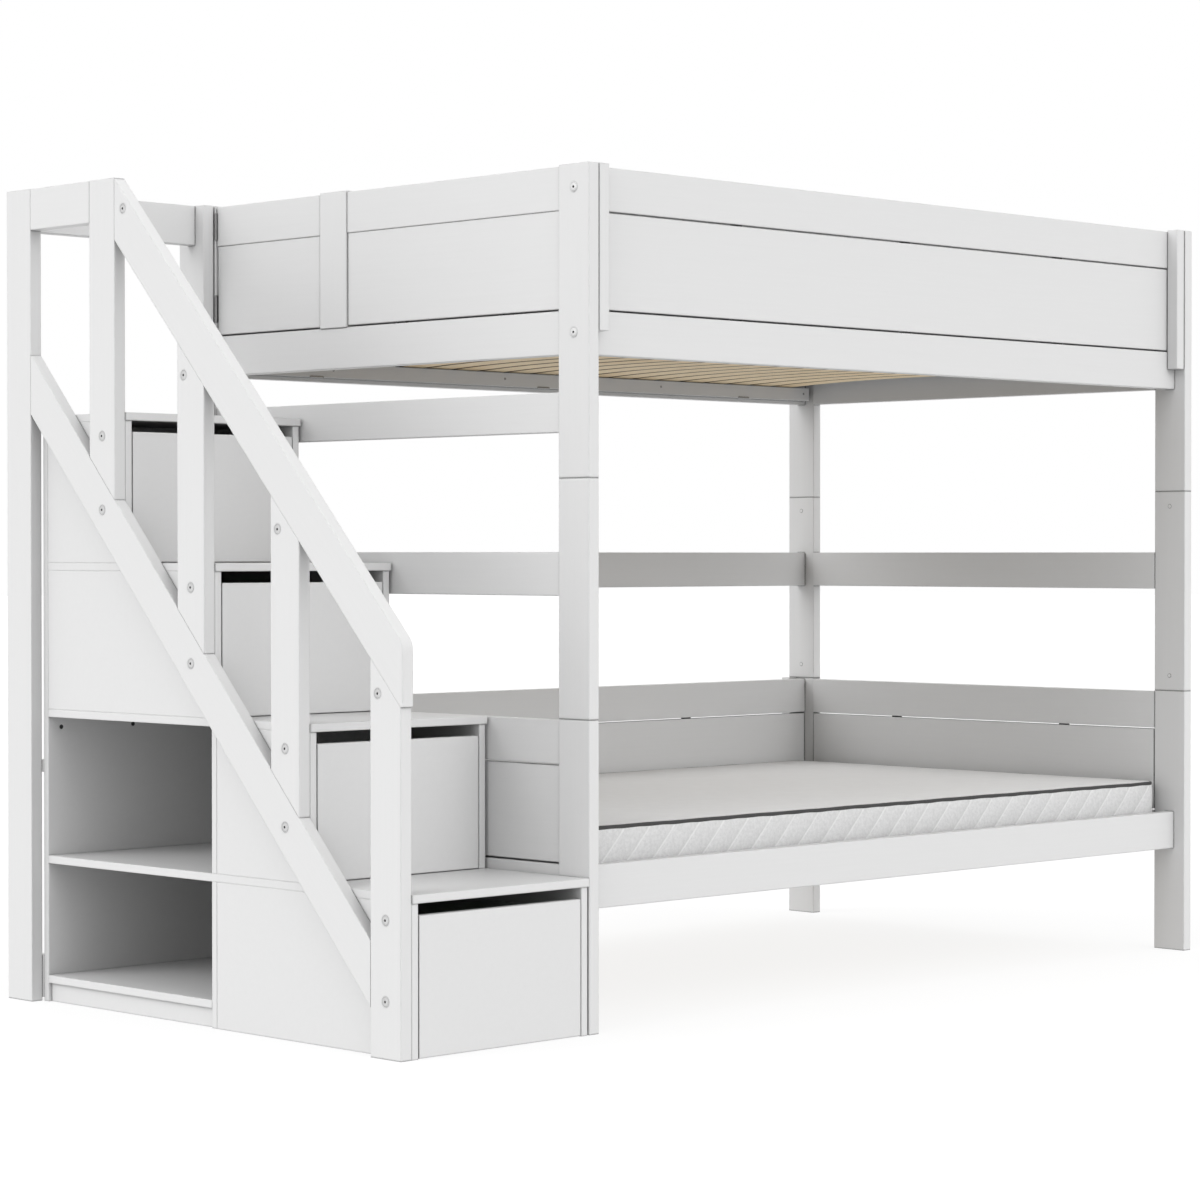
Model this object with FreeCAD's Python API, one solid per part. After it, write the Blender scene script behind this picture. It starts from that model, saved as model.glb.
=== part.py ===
"""Bunk bed with a drawer staircase at its left end.

Millimetres, +Z up. X runs along the bed, Y from its open front to its back.
The pieces are drawn from the outer front corner of the bed's left post, and the
whole is then moved so that its box stands centred on the origin.
"""
import FreeCAD
import Part
import math
import os

Vector = FreeCAD.Vector
AXES = {"X": Vector(1, 0, 0), "Y": Vector(0, 1, 0), "Z": Vector(0, 0, 1)}

# Bed frame
bed_length = 2070.0
bed_width = 1320.0
post_thickness = 28.0
post_width = 90.0
bunk_post_height = 641.0
middle_post_height = 493.0
rail_height = 90.0
rail_thickness = 28.0
rail_lift = 252.0
end_rail_setback = 3.0
stair_side_rail_height = 82.0
stair_side_rail_lift = 94.0
timber_chamfer = 1.0
post_end_chamfer = 0.8

# Loose tenons that join the post sections
tenon_thickness = 10.0
tenon_width = 40.0
tenon_length = 60.0
tenon_clearance = 0.1

# Guards: a panel and a top rail above each bunk rail
gap_below_panel = 4.0
gap_above_panel = 3.5
panel_height = 198.5
panel_thickness = 25.0
panel_end_gap = 2.0
panel_chamfer = 1.0
spacer_length = 24.0
spacer_width = 12.0
long_spacer_pitch = 555.0
end_spacer_pitch = 560.0
batten_width = 28.0
batten_setback = 1.0
batten_post_gap = 3.0
batten_lap = 42.0
stile_width = 90.0

# Gate at the top step, with its hinges
gate_opening = 375.0
gate_stile_gap = 3.0
hinge_height = 60.0
hinge_leaf_thickness = 1.5
hinge_leaf_width = 22.0
hinge_leaf_gap = 1.0
hinge_knuckle_diameter = 6.0
hinge_knuckle_length = 20.0
hinge_play = 0.3
hinge_pin_diameter = 3.0
hinge_pin_clearance = 0.05
hinge_corner_gap = 0.5
hinge_face_gap = 0.5
hinge_end_margin = 30.0

# Slats, ledgers and mattresses
slat_count = 22
slat_width = 75.0
slat_thickness = 18.0
slat_lift = 44.0
slat_end_gap = 1.0
slat_first_margin = 8.0
slat_last_margin = 65.0
ledger_width = 22.0
ledger_height = 34.0
ledger_end_gap = 5.0
mattress_thickness = 103.0
mattress_crown = 3.0
mattress_end_gap = 5.0
mattress_side_gap = 3.0
mattress_rest_gap = 0.3
mattress_corner_radius = 50.0
mattress_draw_in = 4.0
mattress_edge_roll = 14.0
mattress_roll_height = 8.0
mattress_seam_inset = 3.0
mattress_crown_inset = 260.0

# Staircase timbers
stair_gap = 5.0
stair_width = 500.0
step_count = 4
landing_below_rail = 106.0
stair_timber = 28.0
baluster_width = 90.0
sloping_width = 90.0
stringer_height = 133.0
handrail_height = 684.0
handrail_overhang = 5.5
handrail_end_radius = 40.0
landing_rail_height = 90.0

# Staircase cabinet
board = 17.0
board_chamfer = 1.0
tread_nosing = 4.0
tread_side_overhang = 2.0
newel_slit = 6.0
niche_behind_riser = 12.0
niche_floor_height = 58.0
plinth_setback = 8.0
cleat_width = 28.0
low_cleat_base = 8.0
low_cleat_height = 92.0
high_cleat_base = 502.0
high_cleat_height = 26.0

# Drawers and runners
front_thickness = 18.0
front_side_gap = 2.5
front_foot_gap = 1.5
grip_gap = 24.0
box_wall = 12.0
box_bottom_thickness = 8.0
box_foot = 22.0
box_below_front_top = 20.0
box_back_gap = 12.0
runner_room = 13.0
runner_lift = 60.0
runner_web = 3.0
runner_height = 24.0
runner_end_gap = 1.5
runner_play = 1.0
runner_seat_gap = 0.3
slide_bar_height = 12.0
runner_front_gap = 4.0

# Connector bolts and cam fittings
bolt_head_diameter = 21.0
bolt_head_thickness = 1.5
bolt_neck = 9.0
bolt_socket = 6.0
bolt_socket_depth = 4.0
bolt_clearance = 0.1
bolt_tip_gap = 2.0
rail_bolt_grip = 40.0
panel_bolt_grip = 12.0
stair_fixing_grip = 20.0
packer_size = 40.0
stair_fixing_height = 400.0
stair_fixing_rise = 780.0
front_fixing_height = 150.0
foot_bolt_above_seam = 90.0
stringer_bolt_below_seam = 67.0
newel_bolt_height = 112.0
cam_depth = 12.0
cam_from_seam = 32.0
cam_from_back = 22.0
cam_from_end = 30.0
niche_cam_diameter = 10.0
niche_cam_recess = 1.0
niche_cam_end_margin = 35.0
niche_cam_below_tread = 23.0

# Worked-out places
middle_foot = bunk_post_height
upper_foot = middle_foot + middle_post_height
total_height = upper_foot + bunk_post_height
rail_inset = (post_width - rail_thickness) / 2
rail_inner = rail_inset + rail_thickness
end_rail_inner = end_rail_setback + rail_thickness
panel_inset = (rail_thickness - panel_thickness) / 2
back_post_front = bed_width - post_width
stile_back = back_post_front - gate_opening
stile_front = stile_back - stile_width
gate_front = stile_back + gate_stile_gap
gate_back = back_post_front - 2 * hinge_leaf_thickness - hinge_leaf_gap
slat_bottom = rail_lift + slat_lift
mattress_bottom = slat_bottom + slat_thickness + mattress_rest_gap

# The staircase climbs to just below the upper rails and is as deep as the bed is wide
rise = (upper_foot + rail_lift - landing_below_rail) / step_count
going = (bed_width - baluster_width) / step_count
slope = rise / going
sloping_depth = sloping_width * math.hypot(1.0, slope)
newel_height = total_height
stair_right = -stair_gap
stair_left = stair_right - stair_width
cabinet_left = stair_left + stair_timber
cabinet_back = step_count * going - newel_slit
cabinet_inner_left = cabinet_left + board
cabinet_inner_right = stair_right - board
cabinet_inner_back = cabinet_back - board
newel_front = step_count * going
stair_depth = newel_front + baluster_width
inner_newel_left = stair_right - stair_timber
niche_front = 2 * going + niche_behind_riser
divider_front = niche_front - board

nodes = {}


def add(name, *solids):
    """Puts solids into the named piece."""
    nodes.setdefault(name, []).extend(solids)


def box(low, high):
    """A plain block between two corners."""
    size = [b - a for a, b in zip(low, high)]
    return Part.makeBox(size[0], size[1], size[2], Vector(*low))


def bar(low, high, axis, chamfer):
    """A block with the four edges along one axis eased."""
    block = box(low, high)
    along = [e for e in block.Edges if abs(e.tangentAt(e.FirstParameter).dot(AXES[axis])) > 0.99]
    return block.makeChamfer(chamfer, along)


def timber(low, high, axis):
    """A planed length of timber."""
    return bar(low, high, axis, timber_chamfer)


def sheet(low, high, axis):
    """A board with its long edges eased."""
    return bar(low, high, axis, board_chamfer)


def side_profile(points, x_low, thickness):
    """An outline in the YZ plane, carried along X."""
    corners = [Vector(x_low, y, z) for y, z in points]
    return Part.Face(Part.makePolygon(corners + corners[:1])).extrude(Vector(thickness, 0, 0))


def ease_upright_edges(solid):
    """Eases the long upright edges of a sawn timber."""
    upright = [e for e in solid.Edges if abs(e.tangentAt(e.FirstParameter).z) > 0.99]
    return solid.makeChamfer(timber_chamfer, upright)


def ease_sloping_edges(solid, sides=2):
    """Eases the edges that run with the stairs: both sides, or the upper one with what follows it."""
    run = Vector(0, going, rise).normalize()
    sloping = [e for e in solid.Edges if abs(e.tangentAt(e.FirstParameter).dot(run)) > 0.999]
    straight = [e for e in sloping if e.Length > going]
    straight.sort(key=lambda e: e.CenterOfMass.z - slope * e.CenterOfMass.y)
    return solid.makeChamfer(timber_chamfer, straight[-2 * sides:])


def mirrored_x(low, high):
    """The same block at the bed's other end."""
    return (bed_length - high[0], low[1], low[2]), (bed_length - low[0], high[1], high[2])


def mirrored_y(low, high):
    """The same block on the bed's other side."""
    return (low[0], bed_width - high[1], low[2]), (high[0], bed_width - low[1], high[2])


def panel_base(foot):
    return foot + rail_lift + rail_height + gap_below_panel


def guard_rail_base(foot):
    return panel_base(foot) + panel_height + gap_above_panel


# Posts: three stacked sections a corner, with a loose tenon across each joint
def tenon(joint, clearance):
    """A flat tenon centred on a post joint, or its slot when given a clearance."""
    half = [tenon_thickness / 2 + clearance, tenon_width / 2 + clearance, tenon_length / 2 + clearance]
    centre = [post_thickness / 2, post_width / 2, joint]
    return box([c - h for c, h in zip(centre, half)], [c + h for c, h in zip(centre, half)])


def post_sections():
    sections = [(0.0, middle_foot), (middle_foot, upper_foot), (upper_foot, total_height)]
    for base, top in sections:
        solid = timber((0, 0, base), (post_thickness, post_width, top), "Z")
        solid = solid.makeChamfer(post_end_chamfer, [e for e in solid.Edges if e.BoundBox.ZLength < 1e-6])
        for joint in (middle_foot, upper_foot):
            solid = solid.cut(tenon(joint, tenon_clearance))
        yield solid


for end, x_shift in (("left", 0.0), ("right", bed_length - post_thickness)):
    for side, y_shift in (("front", 0.0), ("back", bed_width - post_width)):
        place = Vector(x_shift, y_shift, 0)
        for section in post_sections():
            add(f"{side}_{end}_post", section.translated(place))
        for joint in (middle_foot, upper_foot):
            add("post_tenons", tenon(joint, 0.0).translated(place))


# Rails: the long ones butt on the posts' inner faces, the end ones on their edges
def long_rail(side, base, height=rail_height):
    low = (post_thickness, rail_inset, base)
    high = (bed_length - post_thickness, rail_inner, base + height)
    if side == "back":
        low, high = mirrored_y(low, high)
    return timber(low, high, "X")


def end_rail(end, base, height=rail_height, start=post_width, stop=back_post_front):
    low = (end_rail_setback, start, base)
    high = (end_rail_inner, stop, base + height)
    if end == "right":
        low, high = mirrored_x(low, high)
    return timber(low, high, "Y")


for level, foot in (("lower", 0.0), ("upper", upper_foot)):
    for side in ("front", "back"):
        add(f"{level}_{side}_rail", long_rail(side, foot + rail_lift))
add("middle_back_rail", long_rail("back", middle_foot + rail_lift))
for end in ("left", "right"):
    add("lower_end_rails", end_rail(end, rail_lift))
    add("middle_end_rails", end_rail(end, middle_foot + rail_lift))
    add("upper_end_rails", end_rail(end, upper_foot + rail_lift))
add("stair_side_rail", end_rail("left", upper_foot + stair_side_rail_lift, stair_side_rail_height))


# Guards: panel and top rail, held apart by small spacers
def long_panel(side, foot):
    low = (post_thickness + panel_end_gap, rail_inset + panel_inset, panel_base(foot))
    high = (bed_length - low[0], rail_inner - panel_inset, panel_base(foot) + panel_height)
    if side == "back":
        low, high = mirrored_y(low, high)
    return bar(low, high, "X", panel_chamfer)


def end_panel(end, foot, start=post_width, stop=back_post_front, gap=gap_above_panel):
    low = (end_rail_setback + panel_inset, start + panel_end_gap, panel_base(foot))
    high = (end_rail_inner - panel_inset, stop - panel_end_gap, guard_rail_base(foot) - gap)
    if end == "right":
        low, high = mirrored_x(low, high)
    return bar(low, high, "Y", panel_chamfer)


def gap_spans(foot):
    """Lower and upper limits of the two gaps beside a panel."""
    below = panel_base(foot)
    above = below + panel_height
    return (below - gap_below_panel, below), (above, above + gap_above_panel)


def long_spacers(side, foot):
    middle = rail_inset + rail_thickness / 2
    for low_z, high_z in gap_spans(foot):
        for step in (-1, 0, 1):
            x = bed_length / 2 + step * long_spacer_pitch
            low = (x - spacer_length / 2, middle - spacer_width / 2, low_z)
            high = (x + spacer_length / 2, middle + spacer_width / 2, high_z)
            if side == "back":
                low, high = mirrored_y(low, high)
            yield box(low, high)


def end_spacers(end, spans, pitch, stop=back_post_front):
    middle = end_rail_setback + rail_thickness / 2
    for low_z, high_z in spans:
        for step in (-0.5, 0.5):
            y = (post_width + stop) / 2 + step * pitch
            low = (middle - spacer_width / 2, y - spacer_length / 2, low_z)
            high = (middle + spacer_width / 2, y + spacer_length / 2, high_z)
            if end == "right":
                low, high = mirrored_x(low, high)
            yield box(low, high)


def battens(side, foot):
    """Upright battens beside the posts that tie rail and top rail."""
    base = foot + rail_lift + rail_height - batten_lap
    low = (post_thickness + batten_post_gap, batten_setback, base)
    high = (low[0] + batten_width, rail_inset, foot + bunk_post_height)
    if side == "back":
        low, high = mirrored_y(low, high)
    return timber(low, high, "Z"), timber(*mirrored_x(low, high), "Z")


add("front_guard_rail", long_rail("front", guard_rail_base(upper_foot)))
add("front_guard_panel", long_panel("front", upper_foot))
add("upper_back_guard", long_rail("back", guard_rail_base(upper_foot)), long_panel("back", upper_foot))
for side in ("front", "back"):
    add("spacer_blocks", *long_spacers(side, upper_foot))
    add("guard_battens", *battens(side, upper_foot))
add("lower_back_guard", long_rail("back", guard_rail_base(0.0)), long_panel("back", 0.0))
add("spacer_blocks", *long_spacers("back", 0.0))
add("guard_battens", *battens("back", 0.0))
for end in ("left", "right"):
    add("lower_end_guards", end_rail(end, guard_rail_base(0.0)), end_panel(end, 0.0))
    add("spacer_blocks", *end_spacers(end, gap_spans(0.0), end_spacer_pitch))
add("upper_right_guard", end_rail("right", guard_rail_base(upper_foot)), end_panel("right", upper_foot))
add("spacer_blocks", *end_spacers("right", gap_spans(upper_foot), end_spacer_pitch))

# The left guard stops at a stile, which leaves room for the gate; its panel is glued under its rail
add("left_guard_rail", end_rail("left", guard_rail_base(upper_foot), stop=stile_front))
add("left_guard_panel", end_panel("left", upper_foot, stop=stile_front, gap=0.0))
left_guard_pitch = (stile_front - post_width) / 2
gap_below = gap_spans(upper_foot)[:1]
add("spacer_blocks", *end_spacers("left", gap_below, left_guard_pitch, stop=stile_front))
stile_low = (0, stile_front, upper_foot + rail_lift + rail_height)
add("left_guard_stile", timber(stile_low, (post_thickness, stile_back, total_height), "Z"))

# Gate: rail and panel glued to one another, hung on two hinges from the back post
gate_base = guard_rail_base(upper_foot)
add("gate_rail", end_rail("left", gate_base, start=gate_front, stop=gate_back))
add("gate_panel", end_panel("left", upper_foot, start=gate_front, stop=gate_back, gap=0.0))

knuckle_radius = hinge_knuckle_diameter / 2
hinge_x = end_rail_setback - hinge_face_gap - knuckle_radius
hinge_y = back_post_front - hinge_corner_gap - knuckle_radius
leaf_start = hinge_x + knuckle_radius + hinge_play
leaf_end = leaf_start + hinge_leaf_width


def knuckle(base, length):
    """One hinge knuckle, bored for the pin."""
    start = Vector(hinge_x, hinge_y, base)
    outer = Part.makeCylinder(knuckle_radius, length, start)
    return outer, Part.makeCylinder(hinge_pin_diameter / 2 + hinge_pin_clearance, length, start)


def hinge_leaf(base, leaf_low, leaf_high, tab_top, knuckle_spans):
    """A flat leaf with tabs that roll into its knuckles."""
    leaf = box((leaf_start, leaf_low, base), (leaf_end, leaf_high, base + hinge_height))
    for low_z, high_z in knuckle_spans:
        outer, bore = knuckle(low_z, high_z - low_z)
        tab = box((hinge_x, leaf_low, low_z), (leaf_start, tab_top, high_z))
        leaf = leaf.fuse([tab, outer]).cut(bore)
    return leaf.removeSplitter()


for base in (panel_base(upper_foot) + hinge_end_margin, gate_base + (rail_height - hinge_height) / 2):
    low_split = base + hinge_knuckle_length
    high_split = base + hinge_height - hinge_knuckle_length
    post_spans = [(base, low_split), (high_split, base + hinge_height)]
    gate_spans = [(low_split + hinge_play, high_split - hinge_play)]
    post_leaf_low = back_post_front - hinge_leaf_thickness
    knuckle_top = hinge_y + knuckle_radius
    add("gate_hinge_post_leaves", hinge_leaf(base, post_leaf_low, back_post_front, knuckle_top, post_spans))
    gate_leaf_high = gate_back + hinge_leaf_thickness
    add("gate_hinge_gate_leaves", hinge_leaf(base, gate_back, gate_leaf_high, gate_leaf_high, gate_spans))
    pin_start = Vector(hinge_x, hinge_y, base)
    add("gate_hinge_post_leaves", Part.makeCylinder(hinge_pin_diameter / 2, hinge_height, pin_start))


# Slats lie across on ledgers screwed to the long rails
def slats(foot):
    first = end_rail_inner + slat_first_margin
    last = bed_length - end_rail_inner - slat_last_margin - slat_width
    pitch = (last - first) / (slat_count - 1)
    base = foot + slat_bottom
    for number in range(slat_count):
        x = first + number * pitch
        low = (x, rail_inner + slat_end_gap, base)
        yield box(low, (x + slat_width, bed_width - low[1], base + slat_thickness))


def ledgers(foot):
    low = (end_rail_inner + ledger_end_gap, rail_inner, foot + slat_bottom - ledger_height)
    high = (bed_length - low[0], rail_inner + ledger_width, foot + slat_bottom)
    return box(low, high), box(*mirrored_y(low, high))


# Mattress: rounded outline, sides drawn in between the corners, crowned top
def mattress_outline(inset, draw_in, z):
    x0 = end_rail_inner + mattress_end_gap + inset
    y0 = rail_inner + mattress_side_gap + inset
    x1 = bed_length - x0
    y1 = bed_width - y0
    r = mattress_corner_radius
    bow = r * (1 - math.sqrt(0.5))
    middle_x = (x0 + x1) / 2
    middle_y = (y0 + y1) / 2

    def arc(*points):
        return Part.Arc(*[Vector(x, y, z) for x, y in points]).toShape()

    return Part.Wire([
        arc((x0 + r, y0), (middle_x, y0 + draw_in), (x1 - r, y0)),
        arc((x1 - r, y0), (x1 - bow, y0 + bow), (x1, y0 + r)),
        arc((x1, y0 + r), (x1 - draw_in, middle_y), (x1, y1 - r)),
        arc((x1, y1 - r), (x1 - bow, y1 - bow), (x1 - r, y1)),
        arc((x1 - r, y1), (middle_x, y1 - draw_in), (x0 + r, y1)),
        arc((x0 + r, y1), (x0 + bow, y1 - bow), (x0, y1 - r)),
        arc((x0, y1 - r), (x0 + draw_in, middle_y), (x0, y0 + r)),
        arc((x0, y0 + r), (x0 + bow, y0 + bow), (x0 + r, y0)),
    ])


def mattress(foot):
    base = foot + mattress_bottom
    top = base + mattress_thickness
    sections = [
        mattress_outline(mattress_edge_roll, mattress_draw_in, base),
        mattress_outline(mattress_seam_inset, mattress_draw_in, base + mattress_roll_height),
        mattress_outline(0.0, mattress_draw_in, (base + top) / 2),
        mattress_outline(mattress_seam_inset, mattress_draw_in, top - mattress_roll_height),
        mattress_outline(mattress_edge_roll, mattress_draw_in, top),
        mattress_outline(mattress_crown_inset, mattress_draw_in, top + mattress_crown),
    ]
    return Part.makeLoft(sections, True, True)


for level, foot in (("lower", 0.0), ("upper", upper_foot)):
    add(f"{level}_slats", *slats(foot))
    add("slat_ledgers", *ledgers(foot))
    add(f"{level}_mattress", mattress(foot))


# Staircase timbers, all flush on the outer face
def stringer_top(y):
    return stringer_height + slope * y


def handrail_bottom(y):
    return handrail_height + slope * y


def upright(y_low, feet, heads):
    """A baluster or newel with sawn ends; feet and heads are its end heights, front then back."""
    y_high = y_low + baluster_width
    points = [(y_low, feet[0]), (y_high, feet[1]), (y_high, heads[1]), (y_low, heads[0])]
    return ease_upright_edges(side_profile(points, stair_left, stair_timber))


def handrail():
    """Sloping rail; its lower end is upright with a rounded upper corner."""
    upper_end = (step_count - 1) * going
    lower_end = -handrail_overhang
    points = [
        (lower_end, handrail_bottom(0.0)),
        (0.0, handrail_bottom(0.0)),
        (upper_end, handrail_bottom(upper_end)),
        (upper_end, handrail_bottom(upper_end) + sloping_depth),
        (lower_end, handrail_bottom(lower_end) + sloping_depth),
    ]
    solid = side_profile(points, stair_left, stair_timber)
    corner = Vector(stair_left + stair_timber / 2, *points[-1])

    def is_corner(edge):
        return edge.CenterOfMass.distanceToPoint(corner) < 1e-6

    solid = solid.makeFillet(handrail_end_radius, [e for e in solid.Edges if is_corner(e)])
    return ease_sloping_edges(solid, 1)


def stringer():
    y_low = baluster_width
    points = [
        (y_low, stringer_top(y_low) - sloping_depth),
        (newel_front, stringer_top(newel_front) - sloping_depth),
        (newel_front, stringer_top(newel_front)),
        (y_low, stringer_top(y_low)),
    ]
    return ease_sloping_edges(side_profile(points, stair_left, stair_timber))


newel_heads = (handrail_bottom(0.0), handrail_bottom(baluster_width))
add("front_newel", upright(0.0, (0.0, 0.0), newel_heads))
for number in range(1, step_count):
    y = number * going
    y_back = y + baluster_width
    feet = (stringer_top(y), stringer_top(y_back))
    last = number == step_count - 1
    heads = (newel_height, newel_height) if last else (handrail_bottom(y), handrail_bottom(y_back))
    add("balusters", upright(y, feet, heads))
for x in (stair_left, inner_newel_left):
    newel_high = (x + stair_timber, stair_depth, newel_height)
    add("back_newels", timber((x, newel_front, 0), newel_high, "Z"))
add("handrail", handrail())
add("stringer", stringer())
last_baluster_back = (step_count - 1) * going + baluster_width
landing_base = newel_height - landing_rail_height
side_rail_high = (cabinet_left, newel_front, newel_height)
add("landing_rails", timber((stair_left, last_baluster_back, landing_base), side_rail_high, "Y"))
rear_inset = newel_front + (baluster_width - stair_timber) / 2
rear_high = (inner_newel_left, rear_inset + stair_timber, newel_height)
add("landing_rails", timber((cabinet_left, rear_inset, landing_base), rear_high, "X"))

# Cabinet: treads run through to the back as boards, with panels between them
for step in range(1, step_count + 1):
    y_front = (step - 1) * going
    floor = (step - 1) * rise
    top = step * rise
    last = step == step_count
    tread_back = cabinet_back if last else cabinet_inner_back
    tread_low = (cabinet_left, y_front - tread_nosing, top - board)
    add(f"tread_{step}", sheet(tread_low, (stair_right + tread_side_overhang, tread_back, top), "X"))
    beside_niche = top <= 2 * rise
    outer_back = divider_front if beside_niche else cabinet_inner_back
    outer_high = (cabinet_inner_left, outer_back, top - board)
    add("outer_side_panels", sheet((cabinet_left, y_front, floor), outer_high, "Z"))
    inner_high = (stair_right, cabinet_inner_back, top - board)
    add("inner_side_panels", sheet((cabinet_inner_right, y_front, floor), inner_high, "Z"))
    if beside_niche:
        divider_low = (cabinet_left, divider_front, floor)
        add("niche_boards", sheet(divider_low, (cabinet_inner_right, niche_front, top - board), "Z"))
back_low = (cabinet_left, cabinet_inner_back, 0)
add("back_panel", sheet(back_low, (stair_right, cabinet_back, step_count * rise - board), "Z"))
floor_low = (cabinet_left, niche_front, niche_floor_height - board)
add("niche_boards", box(floor_low, (cabinet_inner_right, cabinet_inner_back, niche_floor_height)))
plinth_low = (cabinet_left + plinth_setback, niche_front, 0)
add("niche_boards", box(plinth_low, (plinth_low[0] + board, cabinet_inner_back, niche_floor_height - board)))
for x in (cabinet_left, inner_newel_left - cleat_width):
    for base, height in ((low_cleat_base, low_cleat_height), (high_cleat_base, high_cleat_height)):
        cleat_low = (x, cabinet_back, base)
        add("niche_boards", box(cleat_low, (x + cleat_width, cabinet_back + cleat_width, base + height)))


# Drawers: an overlay-free front, a box and a slide bar each side on its runner
def mirrored_in_cabinet(low, high):
    """The same block on the cabinet's inner side."""
    span = cabinet_inner_left + cabinet_inner_right
    return (span - high[0], low[1], low[2]), (span - low[0], high[1], high[2])


for step in range(1, step_count + 1):
    y_front = (step - 1) * going
    floor = (step - 1) * rise
    front_top = step * rise - board - grip_gap
    behind = divider_front if step * rise <= 2 * rise else cabinet_inner_back
    y_box = y_front + front_thickness
    y_back = behind - box_back_gap
    front_low = (cabinet_inner_left + front_side_gap, y_front, floor + front_foot_gap)
    front_high = (cabinet_inner_right - front_side_gap, y_box, front_top)
    add(f"drawer_{step}_front", sheet(front_low, front_high, "X"))

    box_left = cabinet_inner_left + runner_room
    box_right = cabinet_inner_right - runner_room
    box_base = floor + box_foot
    box_top = front_top - box_below_front_top
    wall_low = (box_left, y_box, box_base)
    wall_high = (box_left + box_wall, y_back, box_top)
    bottom_low = (box_left + box_wall, y_box, box_base)
    bottom_high = (box_right - box_wall, y_back, box_base + box_bottom_thickness)
    rear_low = (box_left + box_wall, y_back - box_wall, box_base + box_bottom_thickness)
    rear_high = (box_right - box_wall, y_back, box_top)
    runner_base = floor + runner_lift
    bar_base = runner_base + runner_web + runner_seat_gap
    bar_low = (cabinet_inner_left + runner_web + runner_play, y_box, bar_base)
    bar_high = (box_left, y_back, bar_base + slide_bar_height)
    drawer = f"drawer_{step}_box"
    add(drawer, box(wall_low, wall_high), box(*mirrored_in_cabinet(wall_low, wall_high)))
    add(drawer, box(bottom_low, bottom_high), box(rear_low, rear_high))
    add(drawer, box(bar_low, bar_high), box(*mirrored_in_cabinet(bar_low, bar_high)))

    web_low = (cabinet_inner_left, y_box + runner_front_gap, runner_base)
    web_high = (cabinet_inner_left + runner_web, y_back, runner_base + runner_height)
    ledge_high = (box_left - runner_end_gap, y_back, runner_base + runner_web)
    for mirror in (lambda low, high: (low, high), mirrored_in_cabinet):
        runner = box(*mirror(web_low, web_high)).fuse(box(*mirror(web_low, ledge_high)))
        add("drawer_runners", runner.removeSplitter())


# Fasteners: flat-headed bolts with a square neck, and cams let into blind holes
def hexagon(x, y, z, sign):
    """A hexagon socket that opens on the face at x."""
    reach = bolt_socket / math.sqrt(3)
    turns = [math.radians(60 * k) for k in range(6)]
    corners = [Vector(x, y + reach * math.cos(a), z + reach * math.sin(a)) for a in turns]
    return Part.Face(Part.makePolygon(corners + corners[:1])).extrude(Vector(sign * bolt_socket_depth, 0, 0))


def square_neck(x, y, z, sign, length, clearance=0.0):
    """The square neck of a bolt, or its hole when given a clearance."""
    half = bolt_neck / 2 + clearance
    ends = sorted([x, x + sign * length])
    return box((ends[0], y - half, z - half), (ends[1], y + half, z + half))


def disc(x, y, z, sign, radius, length):
    return Part.makeCylinder(radius, length, Vector(x, y, z), Vector(sign, 0, 0))


def drill(names, cutter):
    """Cuts a hole through the named pieces wherever it meets them."""
    for name in names:
        nodes[name] = [s.cut(cutter) if s.BoundBox.intersect(cutter.BoundBox) else s for s in nodes[name]]


def bolt(x, y, z, sign, length, names):
    """A bolt whose head lies on the face at x, and its hole through the named pieces."""
    face = x - sign * bolt_head_thickness
    head = disc(face, y, z, sign, bolt_head_diameter / 2, bolt_head_thickness)
    neck = square_neck(x, y, z, sign, length)
    add("connector_bolts", head.fuse(neck).cut(hexagon(face, y, z, sign)))
    drill(names, square_neck(x, y, z, sign, length + bolt_tip_gap, bolt_clearance))


def cam(y, z, name):
    """A round cam fitting let into the outer face of a staircase timber."""
    radius = bolt_head_diameter / 2
    add("cam_fittings", disc(stair_left, y, z, 1, radius, cam_depth))
    drill([name], disc(stair_left, y, z, 1, radius + bolt_clearance, cam_depth))


def middle_of_rail(base):
    return base + rail_height / 2


front_bolts = {
    "lower_front_rail": rail_lift,
    "upper_front_rail": upper_foot + rail_lift,
    "front_guard_rail": guard_rail_base(upper_foot),
}
back_bolts = {
    "lower_back_rail": rail_lift,
    "lower_back_guard": guard_rail_base(0.0),
    "middle_back_rail": middle_foot + rail_lift,
    "upper_back_rail": upper_foot + rail_lift,
    "upper_back_guard": guard_rail_base(upper_foot),
}
post_middle = post_width / 2
for side, y, rows in (("front", post_middle, front_bolts), ("back", bed_width - post_middle, back_bolts)):
    for rail, base in rows.items():
        height = middle_of_rail(base)
        length = post_thickness + rail_bolt_grip
        bolt(0.0, y, height, 1, length, [f"{side}_left_post", rail])
        bolt(bed_length, y, height, -1, length, [f"{side}_right_post", rail])

for step in range(step_count):
    y = step * going + baluster_width / 2
    seam = stringer_top(y)
    foot_names = ["front_newel" if step == 0 else "balusters", "outer_side_panels"]
    low_names = ["front_newel" if step == 0 else "stringer", "outer_side_panels"]
    low_height = newel_bolt_height if step == 0 else seam - stringer_bolt_below_seam
    length = stair_timber + panel_bolt_grip
    bolt(stair_left, y, seam + foot_bolt_above_seam, 1, length, foot_names)
    bolt(stair_left, y, low_height, 1, length, low_names)
for step in range(step_count - 1):
    y = step * going + baluster_width - cam_from_back
    drop = cam_from_seam * math.hypot(1.0, slope)
    cam(y, handrail_bottom(y) - drop, "front_newel" if step == 0 else "balusters")
cam_y = (step_count - 1) * going - cam_from_end
cam(cam_y, handrail_bottom(cam_y) + sloping_depth / 2 + cam_from_end, "handrail")


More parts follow.
